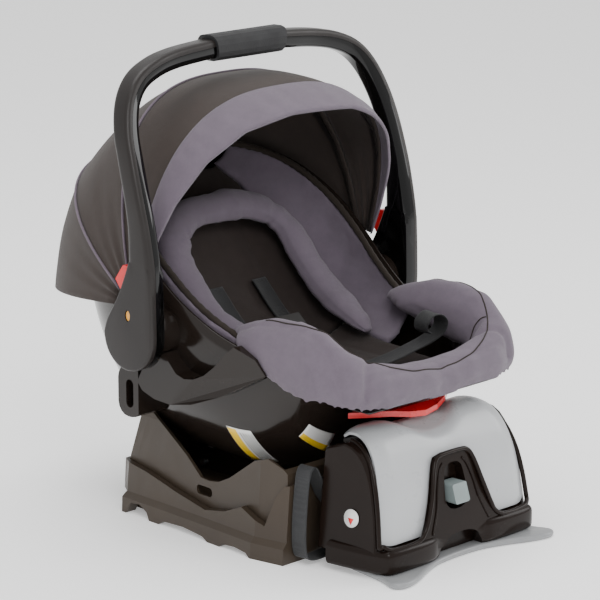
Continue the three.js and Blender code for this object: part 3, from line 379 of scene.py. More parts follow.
SHELL_STATIONS = [
    [0, 112, -158, 194, -152, 191], [1, 134, -132, 206, -122, 191], [2, 148, -84, 226, -88, 184],
    [3, 158, -24, 247, -46, 98], [4, 168, 38, 268, 26, 66], [5, 178, 88, 298, 106, 62],
    [6, 184, 132, 334, 196, 68], [7, 185, 172, 366, 262, 88], [8, 180, 212, 392, 312, 150],
    [9, 168, 248, 412, 338, 224], [10, 142, 282, 427, 352, 298], [11, 96, 306, 436, 356, 366],
]
SEAT_STATIONS = [
    [0, 100, -148, 203, -148, 200], [1, 118, -124, 213, -122, 204], [2, 130, -80, 231, -78, 208],
    [3, 138, -24, 252, -30, 209], [4, 146, 36, 273, 34, 209], [5, 156, 84, 303, 84, 213],
    [6, 162, 126, 340, 130, 228], [7, 162, 164, 372, 172, 264], [8, 156, 202, 398, 206, 308],
    [9, 143, 237, 418, 236, 352], [10, 116, 270, 433, 266, 392], [11, 74, 294, 443, 290, 426],
]


def section(stations, u, v, squareness):
    _, half, rim_y, rim_z, low_y, low_z = along(stations, u * 11)
    angle = v * math.pi / 2
    out = math.copysign(abs(math.sin(angle)) ** (2 / squareness), v)
    down = max(math.cos(angle), 0) ** (2 / squareness)
    return Vector((half * 1.03 * out, rim_y + (low_y - rim_y) * down, rim_z + (low_z - rim_z) * down))


def shell_point(u, v, depth):
    outside = section(SHELL_STATIONS, u, v, 2.15)
    inward = (section(SEAT_STATIONS, u, v, 2.5) - outside).normalized()
    return outside + inward * depth


def seat_point(u, v, depth):
    """A point a given depth below the top of the padding."""
    top = section(SEAT_STATIONS, u, v, 2.5)
    outward = section(SHELL_STATIONS, u, v, 2.15) - top
    room = outward.length - 7
    return top + outward.normalized() * min(depth, room)


# Shell, drawn finer.
def shell_wall(s, t, side):
    depth = 0.2 if side == 0 else 3.6
    return at(*shell_point(0.004 + 0.992 * s, -0.998 + 1.996 * t, depth))


shell = sheet_solid("shell_moulding", shell_wall, 56, 44, SHELL_PLASTIC)
finish_piece(shell, "carrier", "shell_plastic", "carrier_shell")

# Labels on the shell: white with a yellow head and plain grey lines.
def label(name, u, v, depth, material):
    def wall(s, t, side):
        uu = u[0] + (u[1] - u[0]) * s
        vv = v[0] + (v[1] - v[0]) * t
        return at(*shell_point(uu, vv, depth[side]))
    piece = sheet_solid(name, wall, 8, 8, material)
    return finish_piece(piece, "carrier", "shell_plastic")


label("label_sheet_rear", (0.345, 0.395), (-0.60, -0.36), (-0.5, 0.1), LABEL_WHITE)
label("label_head_rear", (0.377, 0.394), (-0.595, -0.365), (-0.8, -0.2), LABEL_YELLOW)
label("label_sheet_front", (0.235, 0.262), (-0.52, -0.30), (-0.5, 0.1), LABEL_WHITE)
label("label_head_front", (0.252, 0.2615), (-0.515, -0.305), (-0.8, -0.2), LABEL_YELLOW)
for i in range(5):
    low = 0.3475 + i * 0.0055
    span = (-0.58, -0.40 + 0.01 * (i % 3))
    label(f"label_line_rear_{i}", (low, low + 0.0018), span, (-0.8, -0.2), LABEL_GREY)


# ---- canopy ----

LEANS = [
    [-24, 250], [-18, 254], [-4, 263], [12, 265], [32, 256], [52, 247], [72, 249], [98, 252],
]
PIVOT = (148, 292)


def canopy_point(lean, v, depth):
    radius = along(LEANS, lean)[1]
    angle = v * math.pi / 2
    reach = (radius - depth - 16) * max(math.cos(angle), 0) ** 0.74 + 16
    x = (210 - depth) * math.copysign(abs(math.sin(angle)) ** 0.74, v)
    turn = math.radians(lean)
    return at(x, PIVOT[0] + reach * math.sin(turn), PIVOT[1] + reach * math.cos(turn))


def even(t):
    """Spreads columns evenly over a hoop, which bends most near its ends."""
    return math.copysign(abs(2 * t - 1) ** 1.12, 2 * t - 1)


def canopy_panel(name, lean, sag, pulls):
    """One cloth panel between two hoops, sagging a little and pulled into folds at its ends."""
    def wall(s, t, side):
        v = even(t) * 0.985
        middle = math.sin(math.pi * s)
        ends = abs(v) ** 5
        ripple = math.sin(pulls * s * math.pi * 2 + 3 * v) * 1.3 * ends * middle
        soft = noise.noise(Vector((v * 5, s * 2.2 + lean[0], 3.1))) * 1.6 * middle
        depth = sag * middle * (1 - ends) + ripple + soft + 0.2 + side * 1.8
        return canopy_point(lean[0] + (lean[1] - lean[0]) * s, v, depth)
    return sheet_solid(name, wall, 22, 72, CANOPY_CLOTH)


PANELS = [
    ("front", (-17.0, 11.7), 2.6, "canopy_front", "canopy_front_fold", 0.22, 3),
    ("middle", (12.0, 51.7), 4.2, "canopy_middle", "canopy_middle_fold", 0.19, 3),
    ("rear", (52.0, 94.0), 3.4, "canopy_rear", "canopy_rear_fold", 0.5, 3),
]
for name, lean, sag, body, joint, keep, pulls in PANELS:
    panel = canopy_panel(f"canopy_cloth_{name}", lean, sag, pulls)
    finish_piece(panel, body, "canopy_fabric", f"canopy_panel_{name}")
    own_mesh(panel)

# Piping along the seams over the middle and rear hoops.
for name, lean, body in [("middle", 12.0, "canopy_middle"), ("rear", 52.0, "canopy_rear")]:
    path = [canopy_point(lean, even(i / 80) * 0.985, -0.6) for i in range(81)]
    piping = sweep(f"canopy_piping_{name}", path, circle(1.7), Vector((0, 1, 0)), PIPING_CLOTH)
    finish_piece(piping, body, "cover_fabric")


# Front band: padded, drawn into shallow scallops by its gathered edge.
def band_wall(s, t, side):
    v = even(t) * 0.985
    scallop = abs(math.sin(v * 14 + 0.6)) * 0.9 * (1 - abs(v) ** 8)
    lean = -23.3 + 12.8 * s - scallop * (1 - s) * 0.7
    puff = math.sin(math.pi * min(max(s, 0.02), 0.98)) ** 0.6
    crease = math.sin(v * 60 + math.sin(v * 13) * 2.2) * 0.4 * puff
    front = max(0.0, 1 - s / 0.42)
    depth = 0.1 - puff * 3.0 - crease if side == 0 else 0.15 + 3.4 * front
    return canopy_point(lean, v, depth)


band = sheet_solid("canopy_band_cloth", band_wall, 16, 150, GREY_CLOTH)
finish_piece(band, "canopy_front", "cover_fabric", "canopy_band")


# ---- handle: a matte outer half and a gloss inner half on one seam line ----

SEAM = 234
HUB = (125, 263)
HANDLE_ROWS = [
    (SEAM, 106, 292, 45), (SEAM, 104, 325, 43), (SEAM, 104, 355, 40), (SEAM, 108, 395, 33),
    (SEAM, 115, 430, 29), (SEAM - 2, 128, 475, 28), (SEAM - 7, 141, 512, 28),
    (SEAM - 20, 152, 545, 28), (SEAM - 42, 159, 569, 28), (SEAM - 74, 163, 583, 28),
    (SEAM - 110, 166, 590, 28), (80, 166, 594, 28), (40, 166, 596, 28),
]
HALF_PROFILE = [
    (-1, 0), (-1, 0.35), (-0.975, 0.56), (-0.91, 0.75), (-0.8, 0.89), (-0.66, 0.97), (-0.5, 1),
    (0.5, 1), (0.66, 0.97), (0.8, 0.89), (0.91, 0.75), (0.975, 0.56), (1, 0.35), (1, 0),
]


def handle_half(name, low, high, material, slot, node):
    rows = [(-x, y, z, w) for x, y, z, w in HANDLE_ROWS] + HANDLE_ROWS[::-1]
    rows = smooth_path(rows, 180)
    points, faces, count = [], [], len(HALF_PROFILE)
    for i, (x, y, z, width) in enumerate(rows):
        before, after = rows[max(i - 1, 0)], rows[min(i + 1, len(rows) - 1)]
        out = Vector((before[2] - after[2], 0, after[0] - before[0])).normalized()
        for across, part in HALF_PROFILE:
            reach = out * ((low + (high - low) * part))
            points.append(at(x + reach.x, y + across * width / 2, z + reach.z))
    for i in range(len(rows) - 1):
        for k in range(count):
            a, b = i * count + k, i * count + (k + 1) % count
            faces.append((a, b, b + count, a + count))
    faces.append(tuple(range(count))[::-1])
    faces.append(tuple((len(rows) - 1) * count + k for k in range(count)))
    piece = new_object(name, points, faces, material)
    return finish_piece(piece, "handle", slot, node)


def rounded(outline, times):
    """Corner cutting: each pass halves the sharpness of every corner."""
    for _ in range(times):
        finer = []
        for i, (a, b) in enumerate(outline):
            c, d = outline[(i + 1) % len(outline)]
            finer += [(a * 0.75 + c * 0.25, b * 0.75 + d * 0.25), (a * 0.25 + c * 0.75, b * 0.25 + d * 0.75)]
        outline = finer
    return outline


def drawn_in(outline, inset):
    points = []
    for i, (a, b) in enumerate(outline):
        p, q = outline[i - 1], outline[(i + 1) % len(outline)]
        normal = Vector((q[1] - p[1], p[0] - q[0])).normalized()
        points.append((a - normal.x * inset, b - normal.y * inset))
    return points


def oval_outline(centre, radii, count):
    steps = [k * math.pi / (count / 2) for k in range(count)]
    return [
        (centre[0] + radii[0] * math.cos(a), centre[1] + radii[1] * math.sin(a)) for a in steps
    ]


def slab(name, outline, levels, material, place=at):
    """A slab of an outline: levels are (height, inset) pairs, so that its edges can be rounded."""
    points, faces, count = [], [], len(outline)
    for level, inset in levels:
        points += [place(level, a, b) for a, b in drawn_in(outline, inset)]
    for i in range(len(levels) - 1):
        for k in range(count):
            a, b = i * count + k, i * count + (k + 1) % count
            faces.append((a, b, b + count, a + count))
    faces.append(tuple(range(count))[::-1])
    faces.append(tuple((len(levels) - 1) * count + k for k in range(count)))
    return new_object(name, points, faces, material)


def carve(piece, tool, operation="DIFFERENCE"):
    """Cuts the tool out of the piece, or joins it on, and drops the tool."""
    change = piece.modifiers.new("carve", "BOOLEAN")
    change.operation = operation
    change.solver = "EXACT"
    change.object = tool
    depsgraph = bpy.context.evaluated_depsgraph_get()
    mesh = bpy.data.meshes.new_from_object(piece.evaluated_get(depsgraph))
    piece.modifiers.clear()
    piece.data = mesh
    bpy.data.objects.remove(tool)


def sharpen(piece, degrees=32):
    shape = bmesh.new()
    shape.from_mesh(piece.data)
    for face in shape.faces:
        face.smooth = True
    for edge in shape.edges:
        edge.smooth = edge.calc_face_angle(0.0) < math.radians(degrees)
    shape.to_mesh(piece.data)
    shape.free()


lower_arc = [math.pi * (1 + k / 12) for k in range(13)]
LOBE = [(HUB[0] + 43 * math.cos(a), HUB[1] + 43 * math.sin(a)) for a in lower_arc] + [
    (168, 265), (162, 283), (149, 301), (137, 323), (125, 351), (123, 360), (85, 360), (83, 323),
    (82, 277),
]
LOBE = rounded(LOBE, 2)
outer_half = handle_half("handle_matte_half", 0.2, 9, HANDLE_MATTE, "handle_matte", "handle_outer")
inner_half = handle_half("handle_gloss_half", -0.2, -15, HANDLE_GLOSS, "handle_gloss", "handle_inner")
oval = oval_outline((124, 290), (4.4, 6.9), 24)
bore = oval_outline(HUB, (7.4, 7.4), 24)
slot_outline = [(112, 315), (160, 314), (160, 352), (112, 352)]
for sign in (1, -1):
    outer_levels = [
        (sign * 234.2, 0), (sign * 239.6, 0), (sign * 241.4, 0.7), (sign * 242.6, 2.0),
        (sign * 243, 4.0),
    ]
    carve(outer_half, slab("lobe", LOBE, outer_levels, HANDLE_MATTE), "UNION")
    inner_levels = [(sign * 233.8, 0), (sign * 222, 0), (sign * 220, 1.2), (sign * 219, 3.2)]
    carve(inner_half, slab("lobe", LOBE, inner_levels, HANDLE_GLOSS), "UNION")
    carve(outer_half, slab("oval", oval, [(sign * 230, 0), (sign * 250, 0)], AMBER_PLASTIC))
    carve(outer_half, slab("slot", slot_outline, [(sign * 226, 0), (sign * 236.5, 0)], RED_PLASTIC))
    carve(inner_half, slab("slot", slot_outline, [(sign * 226, 0), (sign * 236.5, 0)], RED_PLASTIC))
    carve(outer_half, slab("bore", bore, [(sign * 200, 0), (sign * 238, 0)], STEEL))
    carve(inner_half, slab("bore", bore, [(sign * 200, 0), (sign * 238, 0)], STEEL))
sharpen(outer_half)
sharpen(inner_half)


# ---- hood, front housing and foot plate ----

# The cheeks, the tower and the hood's lower edge are larger here than in the CAD nodes that
# they replace, so collision does not follow them.

HOOD_ROWS = [
    (0, -104, 163, 106), (1, -118, 170, 109), (2, -137, 171, 112), (3, -157, 163, 116),
    (4, -173, 145, 120), (5, -184, 119, 125), (6, -191, 88, 129), (7, -195, 56, 132),
    (8, -196.5, 40, 133),
]


def hood_spot(u, v, depth):
    """A point on the hood; the thumb recess is a dish open to the rear with a deeper oval."""
    t = u * 8
    half = along(HOOD_ROWS, t)[3]
    before, after = along(HOOD_ROWS, max(t - 0.1, 0)), along(HOOD_ROWS, min(t + 0.1, 8))
    normal = Vector((0, after[2] - before[2], before[1] - after[1])).normalized()
    x, place = v * half, u * 8 / 7
    dish = math.hypot(x / 54, max(place - 0.1, 0) / 0.42)
    oval = math.hypot(x / 35, (place - 0.34) / 0.13)
    recess = 8 / (1 + math.exp((dish - 1) * 16)) + 5 * max(0.0, 1 - oval ** 2)
    roll = 150 * max(0.0, abs(v) - 0.8) ** 2
    _, y, z, _ = along(HOOD_ROWS, t)
    return Vector((x, y, z)) - normal * (depth + roll + recess)


def hood_wall(s, t, side):
    v = -1 + 2 * t
    low = 0.995 - 0.05 * max(0.0, (abs(v) - 0.86) / 0.14) ** 2
    return at(*hood_spot(s * low, v, 3.0 * side))


def facing(y, x, z):
    """Places a slab outline in the XZ plane, with the front leaning back as it rises."""
    return at(x, y + (max(z - 30, 0) * 0.2 if y < -195 else 0), z)


def upright(y, x, z):
    """Places a slab outline in the XZ plane."""
    return at(x, y, z)


def flat(z, x, y):
    """Places a slab outline in the XY plane."""
    return at(x, y, z)


hood_cut = rounded([
    (-70, 20), (-55, 54), (-44, 84), (-35, 120), (-28, 131), (28, 131), (35, 120), (44, 84),
    (55, 54), (70, 20),
], 1)
hood = sheet_solid("hood_cover", hood_wall, 60, 90, SILVER_PLASTIC)
carve(hood, slab("tower_cut", hood_cut, [(-230, 0), (-120, 0)], SILVER_PLASTIC, upright))
sharpen(hood)
finish_piece(hood, "base", "silver_plastic", "hood")

flange_plan = rounded([
    (150, -98), (-150, -98), (-147, -150), (-138, -203), (-126, -210), (-54, -210), (-36, -201),
    (36, -201), (54, -210), (126, -210), (138, -203), (147, -150),
], 2)
housing = slab("housing_moulding", flange_plan, [
    (9, 2.5), (11, 0.8), (14, 0), (30, 0), (34, 1.0), (36.5, 3.0), (38, 6.0),
], HOUSING_PLASTIC, flat)
core = [
    (-99, 21), (-99, 150), (-116, 156), (-136, 157), (-152, 149), (-166, 133), (-175, 110),
    (-181, 84), (-185, 56), (-187, 21),
]
carve(housing, slab("core", core, [(-98, 0), (98, 0)], HOUSING_PLASTIC), "UNION")
tower_outline = rounded([
    (-74, 24), (-60, 52), (-48, 84), (-38, 117), (-29, 130), (29, 130), (38, 117), (48, 84),
    (60, 52), (74, 24),
], 2)
tower_levels = [(-150, 0), (-196, 0), (-202, 0.2), (-204.2, 1.2), (-205.4, 3.2)]
carve(housing, slab("tower", tower_outline, tower_levels, HOUSING_PLASTIC, facing), "UNION")
for sign in (1, -1):
    cheek = [(-98.6, 24), (-98.6, 140), (-101, 147), (-108, 150)]
    for step in range(9):
        row = along(HOOD_ROWS, (0.26 + 0.074 * step) * 8)
        drop = 15 - 0.9 * step
        cheek.append((row[1] + drop * (0.5 + 0.06 * step), row[2] - drop * (0.9 - 0.09 * step)))
    cheek += [(-190, 24)]

    def beside(level, y, z, sign=sign):
        return at(sign * (level - (z - 30) * 0.1 - max(0, -150 - y) * 0.10), y, z)

    levels = [(121, 1), (123, 0), (140, 0), (142.4, 1.0), (143.6, 3.0)]
    carve(housing, slab("cheek", cheek, levels, HOUSING_PLASTIC, beside), "UNION")
bay = rounded([(-22, 62), (22, 62), (19, 100), (14, 118), (-14, 118), (-19, 100)], 2)
carve(housing, slab("bay", bay, [(-225, 0), (-178, 0)], HOUSING_PLASTIC, facing))
shaft = [(-14.5, 68.5), (14.5, 68.5), (14.5, 95.5), (-14.5, 95.5)]
carve(housing, slab("shaft", shaft, [(-190, 0), (-140, 0)], HOUSING_PLASTIC, upright))
arch = rounded([(-46, -6), (-38, 20), (-20, 34), (20, 34), (38, 20), (46, -6)], 2)
carve(housing, slab("arch", arch, [(-225, 0), (-188, 0)], HOUSING_PLASTIC, facing))
sharpen(housing, 30)
finish_piece(housing, "base", "housing_plastic", "front_housing")


# One raised bead follows the hood's edge: down each cheek, along the foot and up the tower.
bead_half = []
for step in range(15):
    row = along(HOOD_ROWS, 2.0 + step * 0.39)
    bead_half.append((row[3] + 4.5, row[1] + 7 - step * 0.35, row[2] - 13 + step * 0.5))
bead_half += [
    (133, -197, 43), (124, -201, 38), (98, -204, 37), (76, -204, 39), (65, -202, 46), (57, -201, 60),
    (46.5, -197, 86), (36.5, -190, 116), (28, -187, 128), (14, -186.5, 130.5),
]
bead_rows = bead_half + [(-x, y, z) for x, y, z in bead_half[::-1]]
bead = sweep(
    "housing_bead", [at(*p) for p in smooth_path(bead_rows, 260)], circle(3.0, 12),
    Vector((0.25, 1, 0.15)), HOUSING_PLASTIC,
)
finish_piece(bead, "base", "housing_plastic")
rib_line = [(52, 40), (40, 66), (33, 92), (25, 112), (18, 120)]
for name, sign in [("right", 1), ("left", -1)]:
    rows = [(sign * x, -205.6 + (z - 30) * 0.2, z) for x, z in rib_line]
    path = [at(*p) for p in smooth_path(rows, 40)]
    rib = sweep(f"tower_rib_{name}", path, circle(1.5), Vector((0, 1, 0)), HOUSING_PLASTIC)
    finish_piece(rib, "base", "housing_plastic")

# Plain round label with a downward mark on the left cheek.
disc = oval_outline((-150, 70), (11, 11), 40)
mark = [(-154.5, 70), (-145.5, 70), (-150, 62)]


def on_cheek(level, y, z):
    return at(-(level - (z - 30) * 0.1 - max(0, -150 - y) * 0.10), y, z)


piece = slab("label_round", disc, [(143.0, 0), (143.9, 0)], LABEL_WHITE, on_cheek)
finish_piece(piece, "base", "housing_plastic")
piece = slab("label_mark", mark, [(143.5, 0), (144.1, 0)], RED_PLASTIC, on_cheek)
finish_piece(piece, "base", "housing_plastic")

foot_plan = rounded([
    (-126, -130), (-132, -160), (-139, -200), (-151, -226), (-138, -237), (-112, -233),
    (-70, -214), (-34, -203), (34, -203), (70, -214), (112, -233), (138, -237), (151, -226),
    (139, -200), (132, -160), (126, -130),
], 2)
foot = slab("foot_plate", foot_plan, [
    (0.2, 3), (1.0, 1.2), (2.6, 0.2), (4.5, 0), (6.3, 0.5), (7.6, 1.9), (8.2, 4.0),
], FOOT_PLASTIC, flat)
sharpen(foot, 50)
finish_piece(foot, "recline_foot", "silver_plastic", "recline_foot")


# ---- stuffed pieces ----

def cloth_puff(piece, pressure, cap):
    """A short cloth simulation with pressure swells the piece; the move is capped."""
    bpy.context.view_layer.objects.active = piece
    start = [v.co.copy() for v in piece.data.vertices]
    cloth = piece.modifiers.new("cloth", "CLOTH")
    cloth.settings.quality = 4
    cloth.settings.use_pressure = True
    cloth.settings.uniform_pressure_force = pressure
    cloth.settings.effector_weights.gravity = 0
    cloth.point_cache.frame_start = 1
    cloth.point_cache.frame_end = 20
    scene = bpy.context.scene
    for number in range(1, 21):
        scene.frame_set(number)
    depsgraph = bpy.context.evaluated_depsgraph_get()
    swollen = piece.evaluated_get(depsgraph).to_mesh()
    moved = [v.co.copy() for v in swollen.vertices]
    piece.evaluated_get(depsgraph).to_mesh_clear()
    piece.modifiers.remove(cloth)
    for vertex, before, after in zip(piece.data.vertices, start, moved):
        step = after - before
        if step.length > cap:
            step *= cap / step.length
        vertex.co = before + step
    scene.frame_set(1)


def stuffed(name, node, body, slot, material, voxel, relax, swell, change=None):
    """A stuffed cover grown from its CAD solid: remeshed, relaxed, swelled and reshaped."""
    source = NODES[node]
    piece = source.copy()
    piece.data = source.data.copy()
    piece.name = name
    piece.parent = None
    piece.modifiers.clear()
    bpy.context.scene.collection.objects.link(piece)
    piece.data.materials.clear()
    piece.data.materials.append(material)
    remesh = piece.modifiers.new("remesh", "REMESH")
    remesh.mode = "VOXEL"
    remesh.voxel_size = voxel
    relaxed = piece.modifiers.new("relaxed", "SMOOTH")
    relaxed.factor = 0.6
    relaxed.iterations = relax
    depsgraph = bpy.context.evaluated_depsgraph_get()
    mesh = bpy.data.meshes.new_from_object(piece.evaluated_get(depsgraph))
    piece.modifiers.clear()
    piece.data = mesh
    if swell:
        cloth_puff(piece, 4.0, swell)
    if change:
        normals = [v.normal.copy() for v in mesh.vertices]
        for vertex, normal in zip(mesh.vertices, normals):
            spot = vertex.co * 1000
            spot.y -= SHIFT * 1000
            vertex.co += normal * (change(spot, normal) / 1000)
    for polygon in mesh.polygons:
        polygon.use_smooth = True
    fine = piece.modifiers.new("fine", "SUBSURF")
    fine.levels = 1
    fine.render_levels = 1
    finish_piece(piece, body, slot, node)
    return piece


def groove(distance, width, depth):
    """A sewn channel: how far the surface dips at a distance from the seam."""
    return -depth * math.exp(-((distance / width) ** 2))


def wrinkles(spot, scale, amount):
    return amount * noise.noise(Vector((spot.x, spot.y, spot.z)) / scale)


def apron_change(spot, normal):
    """Edge seam, two corner darts and puckers in the apron."""
    move = 1.2 + wrinkles(spot, 60, 0.8) + wrinkles(spot, 12, 0.25)
    if normal.z > -0.2:
        outer = max(abs(spot.x) / 172, -(spot.y + 18) / 166)
        edge = (1 - outer) * 160
        move += groove(edge - 15, 3.0, 2.4)
        for side in (-1, 1):
            dart = (spot.x * side - 88) * 0.62 + (spot.y + 132) * 0.78
            near = max(0.0, min(1.0, (outer - 0.6) * 6))
            move += groove(dart, 4.0, 4.0 * near)
        pucker = math.sin(math.atan2(spot.x, -spot.y - 20) * 26)
        move += pucker * 0.6 * math.exp(-((edge - 10) / 9) ** 2)
    return move


def pad_change(spot, normal):
    return wrinkles(spot, 34, 1.6) + wrinkles(spot, 11, 0.4) + groove(abs(spot.x) - 58, 4, 1.5)


def side_change(spot, normal):
    ridge = math.sin((spot.y + spot.z) / 22)
    return wrinkles(spot, 30, 2.0) + wrinkles(spot, 10, 0.5) + ridge * 0.4


STUFFED = [
    ("apron_cover", "pad_apron", "cover_fabric", GREY_CLOTH, 0.004, 12, 0.003, 0.7, apron_change),
    ("seat_cover", "pad_seat", "centre_fabric", BROWN_CLOTH, 0.005, 4, 0, 0.5, pad_change),
    ("back_cover", "pad_back", "centre_fabric", BROWN_CLOTH, 0.005, 4, 0, 0.5, pad_change),
    ("wing_cover_right", "pad_side_right", "cover_fabric", GREY_CLOTH, 0.005, 4, 0, 0.6, side_change),
    ("wing_cover_left", "pad_side_left", "cover_fabric", GREY_CLOTH, 0.005, 4, 0, 0.6, side_change),
]
for name, node, slot, material, voxel, relax, swell, fill, change in STUFFED:
    stuffed(name, node, "carrier", slot, material, voxel, relax, swell, change)


def thread(name, rows, target):
    """A line of stitching laid on a cover, found by looking straight down at it."""
    depsgraph = bpy.context.evaluated_depsgraph_get()
    cover = bpy.data.objects[target].evaluated_get(depsgraph)
    path = []
    for x, y in smooth_path(rows, 90):
        start = at(x, y, 420)
        hit, spot, _, _ = cover.ray_cast(start, Vector((0, 0, -1)))
        if hit:
            path.append(spot + Vector((0, 0, 0.0003)))
    piece = sweep(name, path, circle(0.9, 8), Vector((0.3, 0.2, 1)), BINDING_CLOTH)
    finish_piece(piece, "carrier", "cover_fabric")


hem = [(150, -20), (152, -60), (146, -96), (126, -134), (92, -158), (50, -168), (0, -170)]
thread("apron_stitch", hem + [(-x, y) for x, y in hem[-2::-1]], "apron_cover")
for name, sign in [("right", 1), ("left", -1)]:
    thread(f"apron_dart_{name}", [(sign * 124, -134), (sign * 112, -118), (sign * 96, -108)], "apron_cover")

# Insert: one soft roll in a horseshoe, tapered at its two ends, with pinched corners.
insert_rows = [
    (0.352, -0.33, 14), (0.40, -0.35, 21), (0.50, -0.375, 24), (0.62, -0.38, 25), (0.71, -0.385, 25),
    (0.775, -0.30, 26), (0.815, -0.14, 26), (0.82, 0.0, 26), (0.815, 0.14, 26), (0.775, 0.30, 26),
    (0.71, 0.385, 25), (0.62, 0.38, 25), (0.50, 0.375, 24), (0.40, 0.35, 21), (0.352, 0.33, 14),
]
INSERT_STEPS = 190
insert_path = []
insert_across = []
for u, v, lift in smooth_path(insert_rows, INSERT_STEPS):
    insert_path.append(at(*seat_point(u, v, -lift)))
    up = section(SEAT_STATIONS, u, v, 2.5) - section(SHELL_STATIONS, u, v, 2.15)
    insert_across.append(up.normalized())


def insert_ring(i, angle):
    """One point of the roll: thickness along the pad's normal, width across it."""
    t = i / (INSERT_STEPS - 1)
    end = min(t, 1 - t)
    taper = min(1.0, 0.28 + (end / 0.13) ** 0.7 * 0.72)
    corner = sum(math.exp(-(((t - place) / 0.012) ** 2)) for place in (0.345, 0.655))
    wave = math.sin(t * 61) * 0.03 + math.sin(t * 23 + 1.0) * 0.05
    size = taper * (1 + wave) * (1 - 0.16 * corner)
    spot = insert_path[i] * 1000
    rough = noise.noise(spot / 17) * 1.6 + noise.noise(spot / 6) * 0.4
    tall = (14.5 * size + rough * taper) * math.cos(angle)
    wide = (22.5 * size + rough * taper) * math.sin(angle)
    if tall < 0:
        tall *= 0.75
    seam = -1.4 * math.exp(-(((angle - 1.15) / 0.10) ** 2))
    return tall + seam * math.cos(angle), wide + seam * math.sin(angle)


def insert_roll():
    points, faces, count = [], [], 32
    for i, centre in enumerate(insert_path):
        before = insert_path[max(i - 1, 0)]
        after = insert_path[min(i + 1, INSERT_STEPS - 1)]
        tangent = (after - before).normalized()
        up = insert_across[i]
        up = (up - tangent * up.dot(tangent)).normalized()
        across = tangent.cross(up)
        for k in range(count):
            tall, wide = insert_ring(i, 2 * math.pi * k / count)
            points.append(centre + up * (tall / 1000) + across * (wide / 1000))
    for i in range(INSERT_STEPS - 1):
        for k in range(count):
            a, b = i * count + k, i * count + (k + 1) % count
            faces.append((a, b, b + count, a + count))
    faces.append(tuple(range(count))[::-1])
    faces.append(tuple((INSERT_STEPS - 1) * count + k for k in range(count)))
    piece = new_object("insert_cover", points, faces, GREY_CLOTH)
    finish_piece(piece, "carrier", "cover_fabric", "insert_right", "insert_left", "insert_head")


insert_roll()

# Binding along the top edge of each wing.
for name, sign in [("right", 1), ("left", -1)]:
    edge = [at(*seat_point(0.335 + 0.63 * i / 90, sign * 0.985, 3)) for i in range(91)]
    for i, point in enumerate(edge):
        point.z += 0.0006 * math.sin(i * 2.1)
    binding = sweep(f"wing_binding_{name}", edge, circle(4.2, 12), Vector((1, 0, 0)), BINDING_CLOTH)
    finish_piece(binding, "carrier", "centre_fabric")

# ---- webbing ----

def ribbon(name, rows, width, side, body, node, material=WEBBING, count=60):
    path = [at(*p) for p in smooth_path(rows, count)]
    half = width / 2
    outline = [
        (-half, 0), (-half + 0.6, -0.8), (-half + 2.2, -0.8), (-half + 2.8, -0.55),
        (half - 2.8, -0.55), (half - 2.2, -0.8), (half - 0.6, -0.8), (half, 0),
        (half - 0.6, 0.8), (half - 2.2, 0.8), (half - 2.8, 0.55), (-half + 2.8, 0.55),
        (-half + 2.2, 0.8), (-half + 0.6, 0.8),
    ]
    piece = sweep(name, path, outline, side, material)
    return finish_piece(piece, body, "webbing", node)


def seat_rows(rows):
    return [tuple(seat_point(u, v, -lift)) for u, v, lift in rows]


for name, sign in [("right", 1), ("left", -1)]:
    rows = seat_rows([
        (0.405, sign * 0.085, 7), (0.44, sign * 0.1, 6), (0.55, sign * 0.105, 6),
        (0.66, sign * 0.105, 6),
    ])
    ribbon(f"harness_{name}", rows, 25, Vector((1, 0, 0)), "carrier", f"shoulder_strap_{name}")
crotch = seat_rows([(0.28, 0, 2), (0.3, 0, 2.5), (0.318, 0, 4)])
ribbon("harness_crotch", crotch, 25, Vector((1, 0, 0)), "carrier", "crotch_strap", count=16)
adjuster = [
    (0, -48, 213), (14, -54, 216), (36, -62, 222), (58, -68, 229), (78, -74, 236), (94, -80, 246),
    (99, -82, 258), (92, -81, 268), (80, -78, 270), (70, -76, 262), (70, -75, 252), (77, -76, 246),
]
ribbon("harness_adjuster", adjuster, 22, Vector((-0.1, 1, 0.1)), "carrier", "adjuster_strap")
half_web = [
    (0, 59), (50, 59), (96, 60), (118, 78), (131, 104), (140, 120), (147, 121), (153, 110),
    (158, 72), (160, 36), (157, 14), (148, 7.5), (128, 6.5), (100, 9), (88, 11),
]
web = [(-x, -84, z) for x, z in half_web[:0:-1]] + [(x, -84, z) for x, z in half_web]
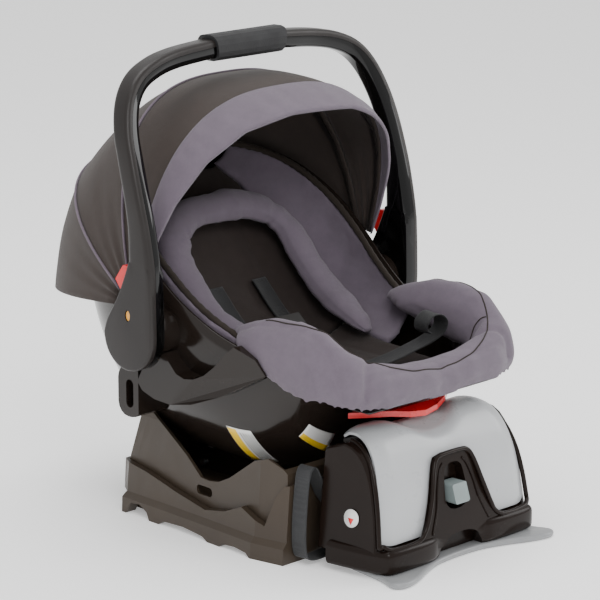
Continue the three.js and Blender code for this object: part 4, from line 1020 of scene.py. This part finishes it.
ribbon("anchor_belt", web, 24, Vector((0, 1, 0)), "base", "anchor_webbing", BASE_WEBBING, 140)


# ---- stage, light and camera ----

def add_floor():
    size = 6.0
    points = [(-size, -size, 0), (size, -size, 0), (size, size, 0), (-size, size, 0)]
    floor = new_object("floor", points, [(0, 1, 2, 3)], FLOOR)


def floor_material():
    material, nodes, links, shader = node_tree("floor_paper")
    shader.inputs["Base Color"].default_value = (0.95, 0.95, 0.95, 1)
    shader.inputs["Roughness"].default_value = 0.8
    shader.inputs["Emission Color"].default_value = (1, 1, 1, 1)
    shader.inputs["Emission Strength"].default_value = 0.34
    return material


FLOOR = floor_material()
add_floor()

world = bpy.data.worlds.new("studio")
world.use_nodes = True
world.node_tree.nodes["Background"].inputs["Color"].default_value = (1, 1, 1, 1)
world.node_tree.nodes["Background"].inputs["Strength"].default_value = 1.0
bpy.context.scene.world = world


def area_light(name, place, target, size, power):
    data = bpy.data.lights.new(name, "AREA")
    data.shape = "RECTANGLE"
    data.size, data.size_y = size
    data.energy = power
    lamp = bpy.data.objects.new(name, data)
    lamp.location = place
    lamp.rotation_euler = (Vector(target) - Vector(place)).to_track_quat("-Z", "Y").to_euler()
    bpy.context.scene.collection.objects.link(lamp)


area_light("key", (-1.6, -2.4, 2.4), (0, 0, 0.3), (1.4, 1.4), 55)
area_light("fill", (2.6, -1.6, 1.6), (0, 0, 0.3), (1.2, 1.8), 30)
area_light("top", (0, 0.4, 3.0), (0, 0, 0.2), (1.8, 1.8), 40)

camera_data = bpy.data.cameras.new("camera")
camera = bpy.data.objects.new("camera", camera_data)
bpy.context.scene.collection.objects.link(camera)
azimuth, elevation, distance = math.radians(-46.37), math.radians(13.41), 3.593
back = Vector((
    math.sin(azimuth) * math.cos(elevation),
    -math.cos(azimuth) * math.cos(elevation),
    math.sin(elevation),
))
aim = at(-70.09, 0, 300.59)
camera.location = aim + back * distance
camera.rotation_euler = back.to_track_quat("Z", "Y").to_euler()
camera_data.sensor_width = 36
camera_data.lens = 176.3
bpy.context.scene.camera = camera
